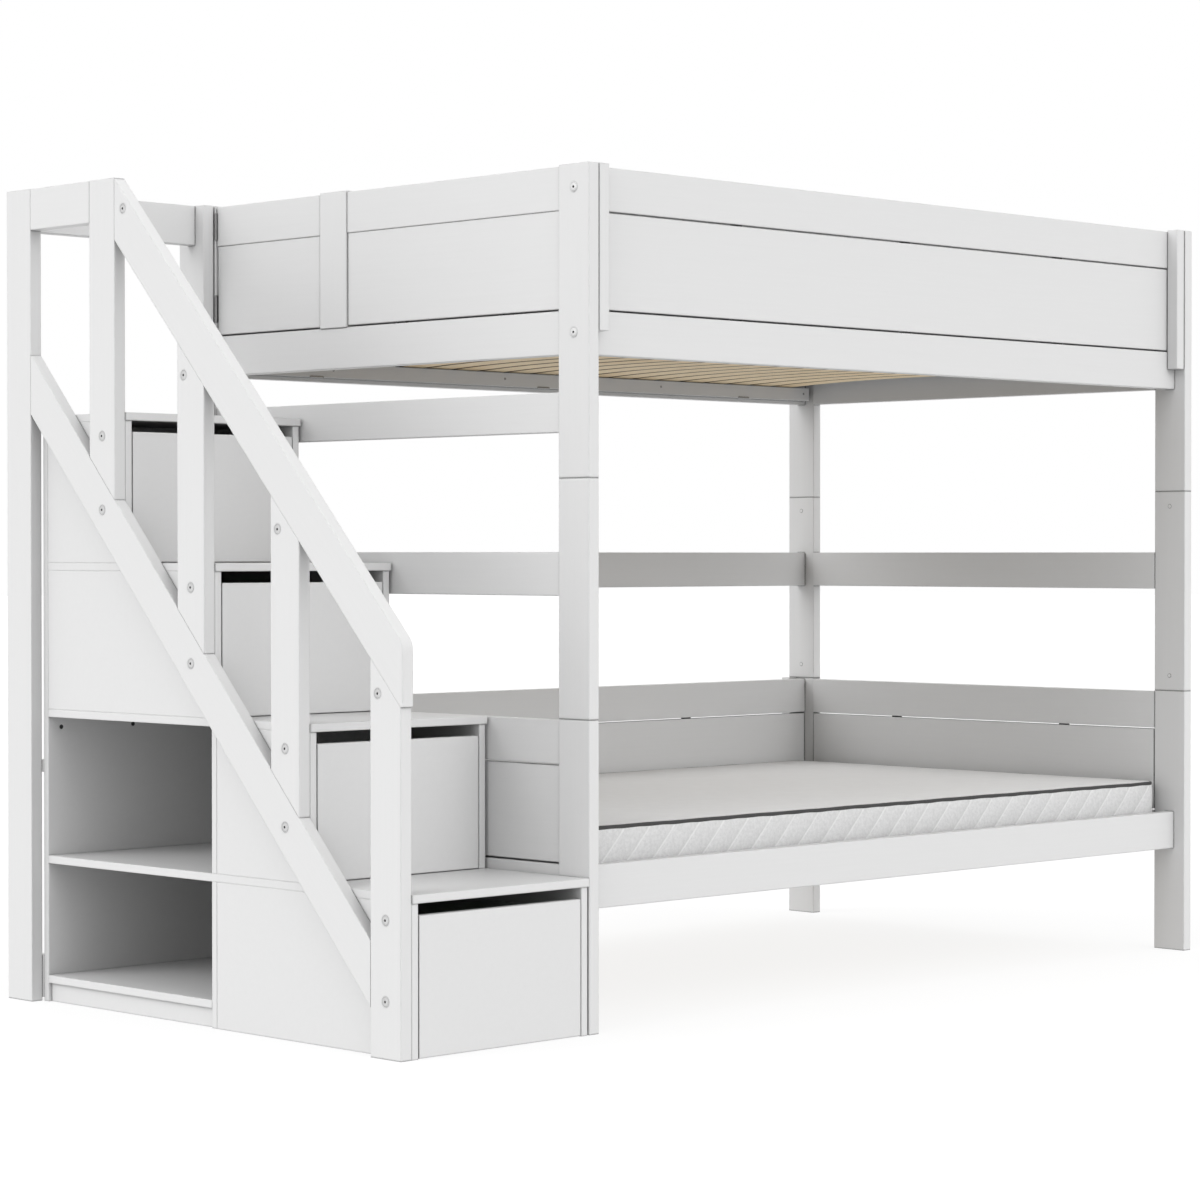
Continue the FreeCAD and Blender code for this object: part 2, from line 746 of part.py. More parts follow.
def niche_cam(x, z):
    """A small cam sunk in the back panel, seen inside the upper niche."""
    along_y = AXES["Y"]
    radius = niche_cam_diameter / 2
    mouth = Vector(x, cabinet_inner_back, z)
    seat = mouth + along_y * niche_cam_recess
    add("cam_fittings", Part.makeCylinder(radius, cam_depth - niche_cam_recess, seat, along_y))
    drill(["back_panel"], Part.makeCylinder(radius + bolt_clearance, cam_depth, mouth, along_y))


first_cam = cabinet_left + niche_cam_end_margin
last_cam = stair_right - board - niche_cam_end_margin
niche_cam_height = 2 * rise - board - niche_cam_below_tread
for x in (first_cam, (first_cam + last_cam) / 2, last_cam):
    niche_cam(x, niche_cam_height)


# Staircase to bed: bolts through packers that fill the slit between the two
def stair_fixing(x, y, z, thickness, names):
    half = packer_size / 2
    add("stair_packers", box((stair_right, y - half, z - half), (0.0, y + half, z + half)))
    length = thickness + stair_gap + stair_fixing_grip
    bolt(x, y, z, 1, length, names + ["stair_packers"])


newel_middle = newel_front + baluster_width / 2
for z in (stair_fixing_height, stair_fixing_height + stair_fixing_rise):
    stair_fixing(inner_newel_left, newel_middle, z, stair_timber, ["back_newels", "back_left_post"])
front_names = ["inner_side_panels", "front_left_post"]
stair_fixing(cabinet_inner_right, post_middle, front_fixing_height, board, front_names)

# The model stands centred on the origin
centre_x = (stair_left + bed_length) / 2
centre_y = (max(bed_width, stair_depth) - handrail_overhang) / 2
shift = Vector(-centre_x, -centre_y, 0)
os.makedirs("parts", exist_ok=True)
for name, solids in nodes.items():
    placed = [solid.translated(shift) for solid in solids]
    shape = placed[0] if len(placed) == 1 else Part.makeCompound(placed)
    shape.exportStep(f"parts/{name}.step")
print(len(nodes), "pieces,", sum(len(s) for s in nodes.values()), "solids")
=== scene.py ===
# %% [markdown]
# # A white bunk bed with a drawer staircase
# The bed's timbers, boards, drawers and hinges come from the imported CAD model, in metres, with +X along
# the bed, +Y to its back and +Z up. This lesson dresses that model: it sets the camera and the light,
# gives every surface a finish made of nodes, and adds what CAD leaves plain, such as the quilted
# mattresses, the bent slats and the heads of the bolts.

# %% Load the model
import math

import bpy
import numpy as np
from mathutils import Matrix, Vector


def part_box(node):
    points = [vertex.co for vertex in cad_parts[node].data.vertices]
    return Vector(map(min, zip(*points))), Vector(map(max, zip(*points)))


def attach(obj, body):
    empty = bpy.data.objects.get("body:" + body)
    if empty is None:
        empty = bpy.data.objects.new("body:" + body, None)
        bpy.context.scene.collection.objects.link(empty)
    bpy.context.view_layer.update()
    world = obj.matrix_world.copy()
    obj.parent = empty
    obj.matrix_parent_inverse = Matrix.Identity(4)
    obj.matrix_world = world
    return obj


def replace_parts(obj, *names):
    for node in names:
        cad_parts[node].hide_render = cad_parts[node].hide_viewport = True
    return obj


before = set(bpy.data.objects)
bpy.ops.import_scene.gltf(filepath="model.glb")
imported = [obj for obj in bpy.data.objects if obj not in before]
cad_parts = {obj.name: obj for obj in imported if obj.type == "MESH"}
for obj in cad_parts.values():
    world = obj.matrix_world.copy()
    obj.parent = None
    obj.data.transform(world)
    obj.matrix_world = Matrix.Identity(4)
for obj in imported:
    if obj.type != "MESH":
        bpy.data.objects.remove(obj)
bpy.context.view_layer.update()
millimetre = 0.001

# %% [markdown]
# ## The camera
# The photograph was taken with a long lens from the front left, a little above the lower bunk. A camera
# could be aimed by eye, but the bed is all straight lines, so its place was worked out from about thirty
# corners of the timbers, and the small shift puts the lens axis beside the picture's middle, as in the
# photograph.

# %% Camera
camera_place = (-5.48135, -5.51029, 0.97847)
camera_yaw = math.radians(45.06)
camera_pitch = math.radians(-0.71)
lens_length = 99.82
sensor_width = 36.0
lens_shift = (-0.0386, -0.0038)

camera = bpy.data.objects.new("camera", bpy.data.cameras.new("camera"))
bpy.context.scene.collection.objects.link(camera)
camera.location = camera_place
camera.rotation_euler = (math.pi / 2 + camera_pitch, 0.0, -camera_yaw)
camera.data.sensor_width = sensor_width
camera.data.lens = lens_length
camera.data.shift_x, camera.data.shift_y = lens_shift
bpy.context.scene.camera = camera
bpy.context.scene.view_settings.view_transform = "Standard"
print("camera:", [round(v, 2) for v in camera.location], "lens", lens_length)

# %% [markdown]
# ## Helpers for meshes
# Every new piece is a grid of points worked out as one numpy array: rows run along one parameter and
# columns along the other. The helper joins neighbouring points with quads, closing the grid into a ring
# where its ends meet again. Writing whole arrays with `foreach_set` is quick, and the piece keeps its
# place in its mesh.


# %% Grids into meshes
def grid_faces(rows, columns, closed, looped=False):
    """Quads between neighbours of a rows by columns grid.

    closed joins the last column to the first, looped the last row to the first.
    """
    row = np.arange(rows if looped else rows - 1)[:, None]
    column = np.arange(columns if closed else columns - 1)[None, :]
    here, above = row * columns, (row + 1) % rows * columns
    after = (column + 1) % columns
    corners = (here + column, here + after, above + after, above + column)
    return np.stack(np.broadcast_arrays(*corners), axis=-1).reshape(-1, 4)


def new_mesh(name, points, faces):
    """A mesh object at the origin from an array of points and an array of quads."""
    mesh = bpy.data.meshes.new(name)
    mesh.vertices.add(len(points))
    mesh.vertices.foreach_set("co", np.asarray(points, np.float32).ravel())
    mesh.loops.add(faces.size)
    mesh.loops.foreach_set("vertex_index", faces.astype(np.int32).ravel())
    mesh.polygons.add(len(faces))
    mesh.polygons.foreach_set("loop_start", np.arange(0, faces.size, 4, dtype=np.int32))
    mesh.polygons.foreach_set("use_smooth", np.ones(len(faces), bool))
    mesh.update(calc_edges=True)
    mesh.validate()
    made = bpy.data.objects.new(name, mesh)
    bpy.context.scene.collection.objects.link(made)
    return made


def repeated_mesh(name, grids, turned=False):
    """One mesh from several grids of one size, each closed round its columns; turned flips their faces."""
    grids = np.array(grids)
    number, rows, columns = grids.shape[:3]
    faces = grid_faces(rows, columns, closed=True)[:, ::-1 if turned else 1]
    first = np.arange(number)[:, None, None] * rows * columns
    return new_mesh(name, grids.reshape(-1, 3), (faces + first).reshape(-1, 4))


print("a grid of 3 by 4 points has", len(grid_faces(3, 4, closed=False)), "quads,",
      len(grid_faces(3, 4, closed=True)), "when it is closed")

# %% [markdown]
# ## Finding the solids of a node
# Bolts, slats and ledgers share a CAD node, and new pieces have to find each one. Blender can separate
# loose parts with an operator, but the points are all that is wanted: every point starts with a label of
# its own, and points that share an edge take the lower label of the two until nothing changes.

# %% Separate solids
weld_steps = 1e5


def solids_of(node):
    """The points of each separate solid in a CAD node, welded to a hundredth of a millimetre."""
    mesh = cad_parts[node].data
    points = np.empty(len(mesh.vertices) * 3, np.float32)
    mesh.vertices.foreach_get("co", points)
    edges = np.empty(len(mesh.edges) * 2, np.int32)
    mesh.edges.foreach_get("vertices", edges)
    steps = np.round(points.reshape(-1, 3) * weld_steps).astype(int)
    spots, welded = np.unique(steps, axis=0, return_inverse=True)
    tips = welded.ravel()[edges.reshape(-1, 2)]
    label = np.arange(len(spots))
    while True:
        lowest = label.copy()
        np.minimum.at(lowest, tips[:, 0], label[tips[:, 1]])
        np.minimum.at(lowest, tips[:, 1], label[tips[:, 0]])
        lowest = lowest[lowest]
        if np.array_equal(lowest, label):
            break
        label = lowest
    return [spots[label == one] / weld_steps for one in np.unique(label)]


print("solids: posts are joined by", len(solids_of("post_tenons")), "tenons")

# %% [markdown]
# ## Light and background
# The photograph is a studio picture: soft light from all round, with three large soft lamps in front, on
# the left and behind on the left, and a plain white background. Lamp objects would do, but the world
# itself can be the lamps: an even level, and for each lamp the cosine between the ray and the lamp's
# direction, raised to a power that says how narrow it is. Rays that come straight from the camera, or
# off a gloss, see pure white instead.


# %% World
def chained(node_tree, operation, first, second=0.0):
    """A math node that takes a socket, and a number or a second socket."""
    made = node_tree.nodes.new("ShaderNodeMath")
    made.operation = operation
    node_tree.links.new(first, made.inputs[0])
    if isinstance(second, float):
        made.inputs[1].default_value = second
    else:
        node_tree.links.new(second, made.inputs[1])
    return made.outputs[0]


def by_ray(node_tree, carried, seen, output):
    """One shader for rays that carry light, another for rays from the camera, a mirror or glass."""
    path = node_tree.nodes.new("ShaderNodeLightPath")
    direct = chained(node_tree, "MAXIMUM", path.outputs["Is Camera Ray"], path.outputs["Is Glossy Ray"])
    direct = chained(node_tree, "MAXIMUM", direct, path.outputs["Is Transmission Ray"])
    choice = node_tree.nodes.new("ShaderNodeMixShader")
    node_tree.links.new(direct, choice.inputs["Fac"])
    node_tree.links.new(carried, choice.inputs[1])
    node_tree.links.new(seen, choice.inputs[2])
    node_tree.links.new(choice.outputs[0], output.inputs["Surface"])


sky_level = 0.70
lamp_height = math.radians(30.0)
lamp_spread = 20.0
# The bearing of each lamp in degrees, and its power.
lamps = {"front": (270.0, 3.62), "left": (180.0, 1.96), "back left": (150.0, 2.74)}
plain_white = (1.0, 1.0, 1.0, 1.0)

world = bpy.data.worlds.new("studio")
bpy.context.scene.world = world
world.use_nodes = True
tree = world.node_tree
tree.nodes.clear()
direction = tree.nodes.new("ShaderNodeTexCoord")
strength = None
for bearing, power in lamps.values():
    turn = math.radians(bearing)
    flat = math.cos(lamp_height)
    cosine = tree.nodes.new("ShaderNodeVectorMath")
    cosine.operation = "DOT_PRODUCT"
    cosine.inputs[1].default_value = (flat * math.cos(turn), flat * math.sin(turn), math.sin(lamp_height))
    tree.links.new(direction.outputs["Generated"], cosine.inputs[0])
    facing = chained(tree, "MAXIMUM", cosine.outputs["Value"])
    lamp = chained(tree, "MULTIPLY", chained(tree, "POWER", facing, lamp_spread), power)
    strength = chained(tree, "ADD", lamp, strength or sky_level)
surroundings = tree.nodes.new("ShaderNodeBackground")
surroundings.inputs["Color"].default_value = plain_white
tree.links.new(strength, surroundings.inputs["Strength"])
backdrop = tree.nodes.new("ShaderNodeBackground")
backdrop.inputs["Color"].default_value = plain_white
sky = tree.nodes.new("ShaderNodeOutputWorld")
by_ray(tree, surroundings.outputs[0], backdrop.outputs[0], sky)
print("world: sky level", sky_level, "lamps", sorted(lamps))

# %% [markdown]
# ## The floor
# The floor is white paper. To the camera most of its white is its own glow, so that it meets the
# background without an edge, and only a small part takes the bed's shadow. To the light it is a duller
# sheet with an even fill, which lightens what faces down, such as the slats.

# %% Floor
floor_half = 60.0
floor_steps = 3
seen_colour, seen_glow = 0.22, 0.83
light_colour, light_fill = 0.12, 0.51


def lit_paper(node_tree, colour, glow):
    """Matt paper that also gives off an even light."""
    matt = node_tree.nodes.new("ShaderNodeBsdfDiffuse")
    matt.inputs["Color"].default_value = (colour, colour, colour, 1.0)
    shining = node_tree.nodes.new("ShaderNodeEmission")
    shining.inputs["Strength"].default_value = glow
    both = node_tree.nodes.new("ShaderNodeAddShader")
    node_tree.links.new(matt.outputs[0], both.inputs[0])
    node_tree.links.new(shining.outputs[0], both.inputs[1])
    return both.outputs[0]


line = np.linspace(-floor_half, floor_half, floor_steps)
floor_x, floor_y = np.meshgrid(line, line)
floor_points = np.stack([floor_x, floor_y, np.zeros_like(floor_x)], axis=-1).reshape(-1, 3)
floor = new_mesh("floor", floor_points, grid_faces(floor_steps, floor_steps, closed=False))

paper = bpy.data.materials.new("floor_paper")
paper.use_nodes = True
tree = paper.node_tree
tree.nodes.clear()
surface = tree.nodes.new("ShaderNodeOutputMaterial")
by_ray(tree, lit_paper(tree, light_colour, light_fill), lit_paper(tree, seen_colour, seen_glow), surface)
floor.data.materials.append(paper)
print("floor:", 2 * floor_half, "m square")

# %% [markdown]
# ## Helpers for materials
# A finish is a small tree of nodes, and the same few steps return in each: places in metres, a noise, a
# ramp from one tone to another, a bump. Each helper adds one such step and hands on its output socket.
# Object coordinates serve nearly everywhere, since a grain in metres stays the same size on every piece.


# %% Materials and places
def new_material(name):
    """A material with its node tree and its principled shader."""
    material = bpy.data.materials.new(name)
    material.use_nodes = True
    return material, material.node_tree, material.node_tree.nodes["Principled BSDF"]


def wire(node_tree, shader, **sockets):
    """Links sockets to the shader's inputs; Base_Color stands for Base Color."""
    for name, socket in sockets.items():
        node_tree.links.new(socket, shader.inputs[name.replace("_", " ")])


def object_places(node_tree, scale, turn=(0.0, 0.0, 0.0)):
    """Object coordinates in metres, turned and then scaled per axis."""
    place = node_tree.nodes.new("ShaderNodeTexCoord")
    turned = node_tree.nodes.new("ShaderNodeMapping")
    turned.inputs["Rotation"].default_value = turn
    stretched = node_tree.nodes.new("ShaderNodeMapping")
    stretched.inputs["Scale"].default_value = scale
    node_tree.links.new(place.outputs["Object"], turned.inputs["Vector"])
    node_tree.links.new(turned.outputs["Vector"], stretched.inputs["Vector"])
    return stretched.outputs["Vector"]


# %% Noises and ramps
noise_middle = (0.3, 0.7)


def noise(node_tree, places, detail, roughness=0.55):
    """Soft noise from nought to one."""
    made = node_tree.nodes.new("ShaderNodeTexNoise")
    made.inputs["Scale"].default_value = 1.0
    made.inputs["Detail"].default_value = detail
    made.inputs["Roughness"].default_value = roughness
    node_tree.links.new(places, made.inputs["Vector"])
    return made.outputs["Fac"]


def ramp(node_tree, factor, stops):
    """A colour ramp; stops are pairs of a place and a grey or a colour."""
    made = node_tree.nodes.new("ShaderNodeValToRGB")
    elements = made.color_ramp.elements
    while len(elements) < len(stops):
        elements.new(0.5)
    for element, (place, colour) in zip(elements, stops):
        rgb = (colour,) * 3 if isinstance(colour, float) else colour
        element.position = place
        element.color = (*rgb, 1.0)
    node_tree.links.new(factor, made.inputs["Fac"])
    return made.outputs["Color"]


def toned(node_tree, factor, tones):
    """The middle of a noise, where nearly all of it lies, spread from the first tone to the second."""
    return ramp(node_tree, factor, list(zip(noise_middle, tones)))


def span(node_tree, factor, low, high):
    """Nought to one, spread from low to high."""
    made = node_tree.nodes.new("ShaderNodeMapRange")
    made.inputs["To Min"].default_value = low
    made.inputs["To Max"].default_value = high
    node_tree.links.new(factor, made.inputs["Value"])
    return made.outputs["Result"]


# %% Bumps and mixes
def bump(node_tree, height, strength, distance, under=None):
    """A bump of a strength and a full height in metres, over another normal if one is given."""
    made = node_tree.nodes.new("ShaderNodeBump")
    made.inputs["Strength"].default_value = strength
    made.inputs["Distance"].default_value = distance
    node_tree.links.new(height, made.inputs["Height"])
    if under is not None:
        node_tree.links.new(under, made.inputs["Normal"])
    return made.outputs["Normal"]


def blended(node_tree, kind, factor, first, second):
    """Two colours mixed; the factor and the second may be sockets or plain values."""
    made = node_tree.nodes.new("ShaderNodeMix")
    made.data_type = "RGBA"
    made.blend_type = kind
    node_tree.links.new(first, made.inputs["A"])
    for value, name in ((factor, "Factor"), (second, "B")):
        if isinstance(value, bpy.types.NodeSocket):
            node_tree.links.new(value, made.inputs[name])
        else:
            made.inputs[name].default_value = value
    return made.outputs["Result"]


# %% Edges, joints and bounces
def eased_edges(node_tree, radius):
    """The surface's normal with its sharp edges rounded off."""
    made = node_tree.nodes.new("ShaderNodeBevel")
    made.samples = 4
    made.inputs["Radius"].default_value = radius
    return made.outputs["Normal"]


def painted_crevice_shade(node_tree, reach):
    """Painted shade: one on open surfaces, less in narrow gaps and joints, where little light gets in."""
    made = node_tree.nodes.new("ShaderNodeAmbientOcclusion")
    made.samples = 6
    made.inputs["Distance"].default_value = reach
    shape = node_tree.nodes.new("ShaderNodeNewGeometry")
    node_tree.links.new(shape.outputs["True Normal"], made.inputs["Normal"])
    return made.outputs["AO"]


def nearest(node_tree, heights):
    """How far a point is, up or down, from the nearest of some heights."""
    place = node_tree.nodes.new("ShaderNodeTexCoord")
    parts = node_tree.nodes.new("ShaderNodeSeparateXYZ")
    node_tree.links.new(place.outputs["Object"], parts.inputs[0])
    found = None
    for height in heights:
        above = chained(node_tree, "SUBTRACT", parts.outputs["Z"], float(height))
        off = chained(node_tree, "ABSOLUTE", above)
        found = off if found is None else chained(node_tree, "MINIMUM", found, off)
    return found


def passed_on(node_tree, seen, share):
    """The colour as it is seen, and only a share of it for the light that goes on to the neighbours."""
    path = node_tree.nodes.new("ShaderNodeLightPath")
    return blended(node_tree, "MULTIPLY", path.outputs["Is Diffuse Ray"], seen, (share, share, share, 1.0))


# %% [markdown]
# ## White lacquer
# Posts, rails and newels are solid pine under a satin white lacquer. From a step away it is plain white,
# but close up the grain still telegraphs through the paint as faint long streaks. A stretched noise along
# the timber's own direction does that: it moves the colour by a percent or so, and raises a very low
# bump, while the gloss follows the fine peel of the spray. Boards of the cabinet have no grain, so their
# noise has an even scale.
#
# Three touches keep white on white readable. Narrow joints get painted shade from an ambient occlusion
# node, each stacked post has a furrow with painted shade where its sections meet, and only a share of the
# light is passed on to the neighbours, so that corners stay as deep as they are in the photograph. More
# lamps could draw the forms too, but they would clip the pale faces.

# %% Lacquer
white_tones = (0.782, 0.792)
bounce_share = 0.45
board_share = 0.24
tread_share = 0.65
timber_crevice_shade = 0.35
board_crevice_shade = 0.75
crevice_shade_edges = (0.45, 0.95)
grain_across = 160.0
grain_along = 5.0
board_scale = (90.0, 90.0, 90.0)
peel_scale = (700.0, 700.0, 700.0)
lacquer_gloss = (0.36, 0.50)
lacquer_shine = 0.4
grain_relief = (0.5, 0.02 * millimetre)
edge_radius = 4.0 * millimetre
crevice_reach = 4.0 * millimetre
seam_reach = 5.0 * millimetre
seam_relief = (1.0, 1.6 * millimetre)
seam_shade = [(0.16, 0.6), (0.30, 1.0)]
seam_furrow = [(0.1, 0.0), (0.5, 0.8), (1.0, 1.0)]


def white_lacquer(name, scale, turn=(0.0, 0.0, 0.0), share=bounce_share, crevice_shade_tone=timber_crevice_shade, seams=()):
    """Satin white paint with streaks of the given scale.

    The shade tone is the painted shade left in narrow joints, and seams are the heights of a post's
    furrows, where the colour also gets painted shade.
    """
    material, nodes, shader = new_material(name)
    streaks = noise(nodes, object_places(nodes, scale, turn), detail=4.0)
    peel = noise(nodes, object_places(nodes, peel_scale), detail=2.0)
    # Painted shade: an ambient occlusion node darkens the colour in narrow joints and gaps.
    crevice_shaded = ramp(nodes, painted_crevice_shade(nodes, crevice_reach), list(zip(crevice_shade_edges, (crevice_shade_tone, 1.0))))
    white = blended(nodes, "MULTIPLY", 1.0, toned(nodes, streaks, white_tones), crevice_shaded)
    soft = eased_edges(nodes, edge_radius)
    if len(seams):
        # Painted shade: the colour darkens along each joint of a stacked post, beside the furrow's bump.
        beside = chained(nodes, "DIVIDE", nearest(nodes, seams), seam_reach)
        white = blended(nodes, "MULTIPLY", 1.0, white, ramp(nodes, beside, seam_shade))
        soft = bump(nodes, ramp(nodes, beside, seam_furrow), *seam_relief, soft)
    gloss = span(nodes, peel, *lacquer_gloss)
    relief = bump(nodes, streaks, *grain_relief, soft)
    wire(nodes, shader, Base_Color=passed_on(nodes, white, share), Roughness=gloss, Normal=relief)
    shader.inputs["Specular IOR Level"].default_value = lacquer_shine
    return material


(first_front, first_top), (second_front, second_top) = (
    (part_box(f"tread_{step}")[0][1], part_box(f"tread_{step}")[1][2]) for step in (1, 2)
)
pitch_angle = math.atan2(second_top - first_top, second_front - first_front)
tenon_middles = [(points[:, 2].min() + points[:, 2].max()) / 2 for points in solids_of("post_tenons")]
post_joints = sorted({round(float(middle), 4) for middle in tenon_middles})
lengthways = (grain_along, grain_across, grain_across)
crossways = (grain_across, grain_along, grain_across)
upright = (grain_across, grain_across, grain_along)
lacquers = {
    "X": white_lacquer("white_lacquer_lengthways", lengthways),
    "Y": white_lacquer("white_lacquer_crossways", crossways),
    "Z": white_lacquer("white_lacquer_upright", upright),
    "post": white_lacquer("white_lacquer_post", upright, seams=post_joints),
    "slope": white_lacquer("white_lacquer_sloping", crossways, (-pitch_angle, 0.0, 0.0)),
    "board": white_lacquer("white_board_paint", board_scale, share=board_share, crevice_shade_tone=board_crevice_shade),
    "tread": white_lacquer("white_tread_paint", board_scale, share=tread_share, crevice_shade_tone=board_crevice_shade),
}
print("lacquers:", sorted(lacquers), "post joints at", post_joints)


# %% Which way each painted piece runs
def paint(material, names):
    """Gives the named CAD nodes one finish."""
    for name in names:
        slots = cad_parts[name].material_slots
        for slot in slots:
            slot.material = material
        if not slots:
            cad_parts[name].data.materials.append(material)


sides = ("front", "back")
ends = ("left", "right")
levels = ("lower", "upper")
steps = range(1, 5)
paint(lacquers["post"], [f"{side}_{end}_post" for side in sides for end in ends])
paint(lacquers["Z"], ["guard_battens", "left_guard_stile", "front_newel", "back_newels", "balusters"])
paint(lacquers["X"], [f"{level}_{side}_rail" for level in levels for side in sides])
paint(lacquers["X"], ["slat_ledgers", "middle_back_rail", "front_guard_rail", "front_guard_panel"])
paint(lacquers["X"], [f"{level}_back_guard" for level in levels])
paint(lacquers["Y"], [f"{level}_end_rails" for level in ("lower", "middle", "upper")])
paint(lacquers["Y"], ["stair_side_rail", "lower_end_guards", "upper_right_guard", "landing_rails"])
paint(lacquers["Y"], ["left_guard_rail", "left_guard_panel", "gate_rail", "gate_panel"])
paint(lacquers["slope"], ["handrail", "stringer"])
paint(lacquers["tread"], [f"tread_{step}" for step in steps])
paint(lacquers["board"], [f"drawer_{step}_front" for step in steps])
paint(lacquers["board"], ["outer_side_panels", "inner_side_panels", "back_panel", "niche_boards"])
print("stairs climb at", round(math.degrees(pitch_angle), 1), "degrees")

# %% [markdown]
# ## Bare pine
# The slats and the loose tenons are planed pine without paint. Growth rings cut lengthways show as long
# bands that wander a little, with fine pores between them. A wave texture bent by noise makes the bands;
# stretching it along the slat keeps them long. The slats' rounded edges get the same recipe in dark brown,
# as painted shade for the narrow gaps between the slats.

# %% Pine
pale_pine = ((0.98, 0.80, 0.53), (0.94, 0.73, 0.45))
painted_shade_pine = ((0.27, 0.19, 0.11), (0.19, 0.13, 0.07))
along_slat = (18.0, 1.2, 18.0)
along_tenon = (18.0, 18.0, 1.2)
ring_settings = {"Scale": 0.8, "Distortion": 6.0, "Detail": 3.0, "Detail Scale": 0.6}
late_share = 0.7
pore_scale = (900.0, 40.0, 900.0)
pore_gloss = (0.55, 0.75)
pore_relief = (0.5, 0.1 * millimetre)


def bare_pine(name, scale, early, late):
    """Planed pine: bands along the piece from a bent wave, with fine pores over them."""
    material, nodes, shader = new_material(name)
    rings = nodes.nodes.new("ShaderNodeTexWave")
    rings.wave_type = "RINGS"
    for setting, value in ring_settings.items():
        rings.inputs[setting].default_value = value
    nodes.links.new(object_places(nodes, scale), rings.inputs["Vector"])
    colour = ramp(nodes, rings.outputs["Fac"], [(0.0, early), (late_share, early), (1.0, late)])
    pores = noise(nodes, object_places(nodes, pore_scale), detail=3.0)
    gloss = span(nodes, pores, *pore_gloss)
    relief = bump(nodes, pores, *pore_relief)
    wire(nodes, shader, Base_Color=passed_on(nodes, colour, bounce_share), Roughness=gloss, Normal=relief)
    return material


slat_pine = bare_pine("bare_pine_slat", along_slat, *pale_pine)
# Painted shade: dark brown pine for the slats' edges, which stand in the shadow of the narrow gaps.
slat_edge_shade = bare_pine("painted_shade_pine_edge", along_slat, *painted_shade_pine)
paint(slat_pine, ["upper_slats", "lower_slats"])
paint(bare_pine("bare_pine_tenon", along_tenon, *pale_pine), ["post_tenons"])
print("pine:", slat_pine.name, slat_edge_shade.name)

# %% [markdown]
# ## Sprung slats
# The CAD slats are flat boards as thick as the room that slats take up. Real ones are thin strips, glued
# up from layers and bent upwards, and seen from below they draw a fan of curved lines. So each slat is
# swept here: a rounded rectangle goes along a shallow arch that fills the CAD board's box. Bending the
# CAD mesh with a modifier would do as well, but it would keep the full thickness.

# %% Slats
strip_thickness = 6.0 * millimetre
strip_edge = 2.6 * millimetre
edge_land = 0.3 * millimetre
arch_power = 3.0
strip_rows = 41
edge_columns = 5


def strip_section(width, thickness, radius):
    """A rounded rectangle: c + r (cos a, sin a) round each corner, with a short land beside each arc."""
    angle = np.arange(4)[:, None] * np.pi / 2 + np.linspace(0, np.pi / 2, edge_columns)
    middle = angle.mean(axis=1)
    quadrant = np.sign(np.stack([np.cos(middle), np.sin(middle)], axis=-1))
    corner = quadrant * (np.array([width, thickness]) / 2 - radius)
    arc = corner[:, None] + radius * np.stack([np.cos(angle), np.sin(angle)], axis=-1)
    land = np.stack([-np.sin(angle), np.cos(angle)], axis=-1) * edge_land
    before, after = arc[:, :1] - land[:, :1], arc[:, -1:] + land[:, -1:]
    return np.concatenate([before, arc, after], axis=1).reshape(-1, 2)


def bowed_slat(low, high):
    """Points of one slat along Y, closed at both ends: z = arch (1 - |v|^p), v from -1 to 1 along it."""
    v = np.concatenate([[-1.0], np.linspace(-1.0, 1.0, strip_rows), [1.0]])[:, None]
    size = np.concatenate([[0.0], np.ones(strip_rows), [0.0]])[:, None]
    across, up = strip_section(high[0] - low[0], strip_thickness, strip_edge).T
    arch = high[2] - low[2] - strip_thickness
    x = (low[0] + high[0]) / 2 + size * across
    y = (low[1] + high[1]) / 2 + v * (high[1] - low[1]) / 2
    z = low[2] + strip_thickness / 2 + arch * (1 - np.abs(v) ** arch_power) + size * up
    return np.stack(np.broadcast_arrays(x, y, z), axis=-1)


# One row for each corner of the section: broad faces and their lands are pale (0), edges dark brown with
# painted shade (1).
shade_edged = np.ones((4, edge_columns + 2), np.int32)
shade_edged[(0, 2), -2:] = 0
shade_edged[(1, 3), 0] = 0
for level in levels:
    grids = [bowed_slat(points.min(0), points.max(0)) for points in solids_of(f"{level}_slats")]
    strips = repeated_mesh(f"{level}_sprung_slats", grids, turned=True)
    rounds = len(grids) * (len(grids[0]) - 1)
    strips.data.polygons.foreach_set("material_index", np.tile(shade_edged.ravel(), rounds))
    strips.data.materials.append(slat_pine)
    strips.data.materials.append(slat_edge_shade)
    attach(strips, "bed_frame")
    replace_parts(strips, f"{level}_slats")
    print(strips.name, len(grids), "slats,", len(strips.data.polygons), "faces")

# %% [markdown]
# ## Drawer boxes, plastic, steel and enamel
# The drawer boxes are thin coated boards, the small spacers are moulded plastic, and hinges, runners and
# the bolts of the staircase are zinc-plated steel. Plating is never even: cloudy patches change its gloss
# and, very slightly, its colour. The bolts on the posts have baked white enamel. Each of these finishes
# needs one noise only.

# %% Box board and plastic
fibre_scale = (400.0, 60.0, 400.0)
fibre_tones = [(0.25, 0.46), (0.75, 0.54)]
fibre_gloss = (0.50, 0.65)
fibre_relief = (0.4, 0.05 * millimetre)
dimple_scale = (1500.0, 1500.0, 1500.0)
plastic_tones = (0.030, 0.045)
plastic_gloss = (0.45, 0.60)
dimple_relief = (0.5, 0.05 * millimetre)


def coated_board(name):
    """A matt foil with a fine even grain."""
    material, nodes, shader = new_material(name)
    fibres = noise(nodes, object_places(nodes, fibre_scale), detail=4.0)
    board = passed_on(nodes, ramp(nodes, fibres, fibre_tones), board_share)
    relief = bump(nodes, fibres, *fibre_relief)
    wire(nodes, shader, Base_Color=board, Roughness=span(nodes, fibres, *fibre_gloss), Normal=relief)
    return material


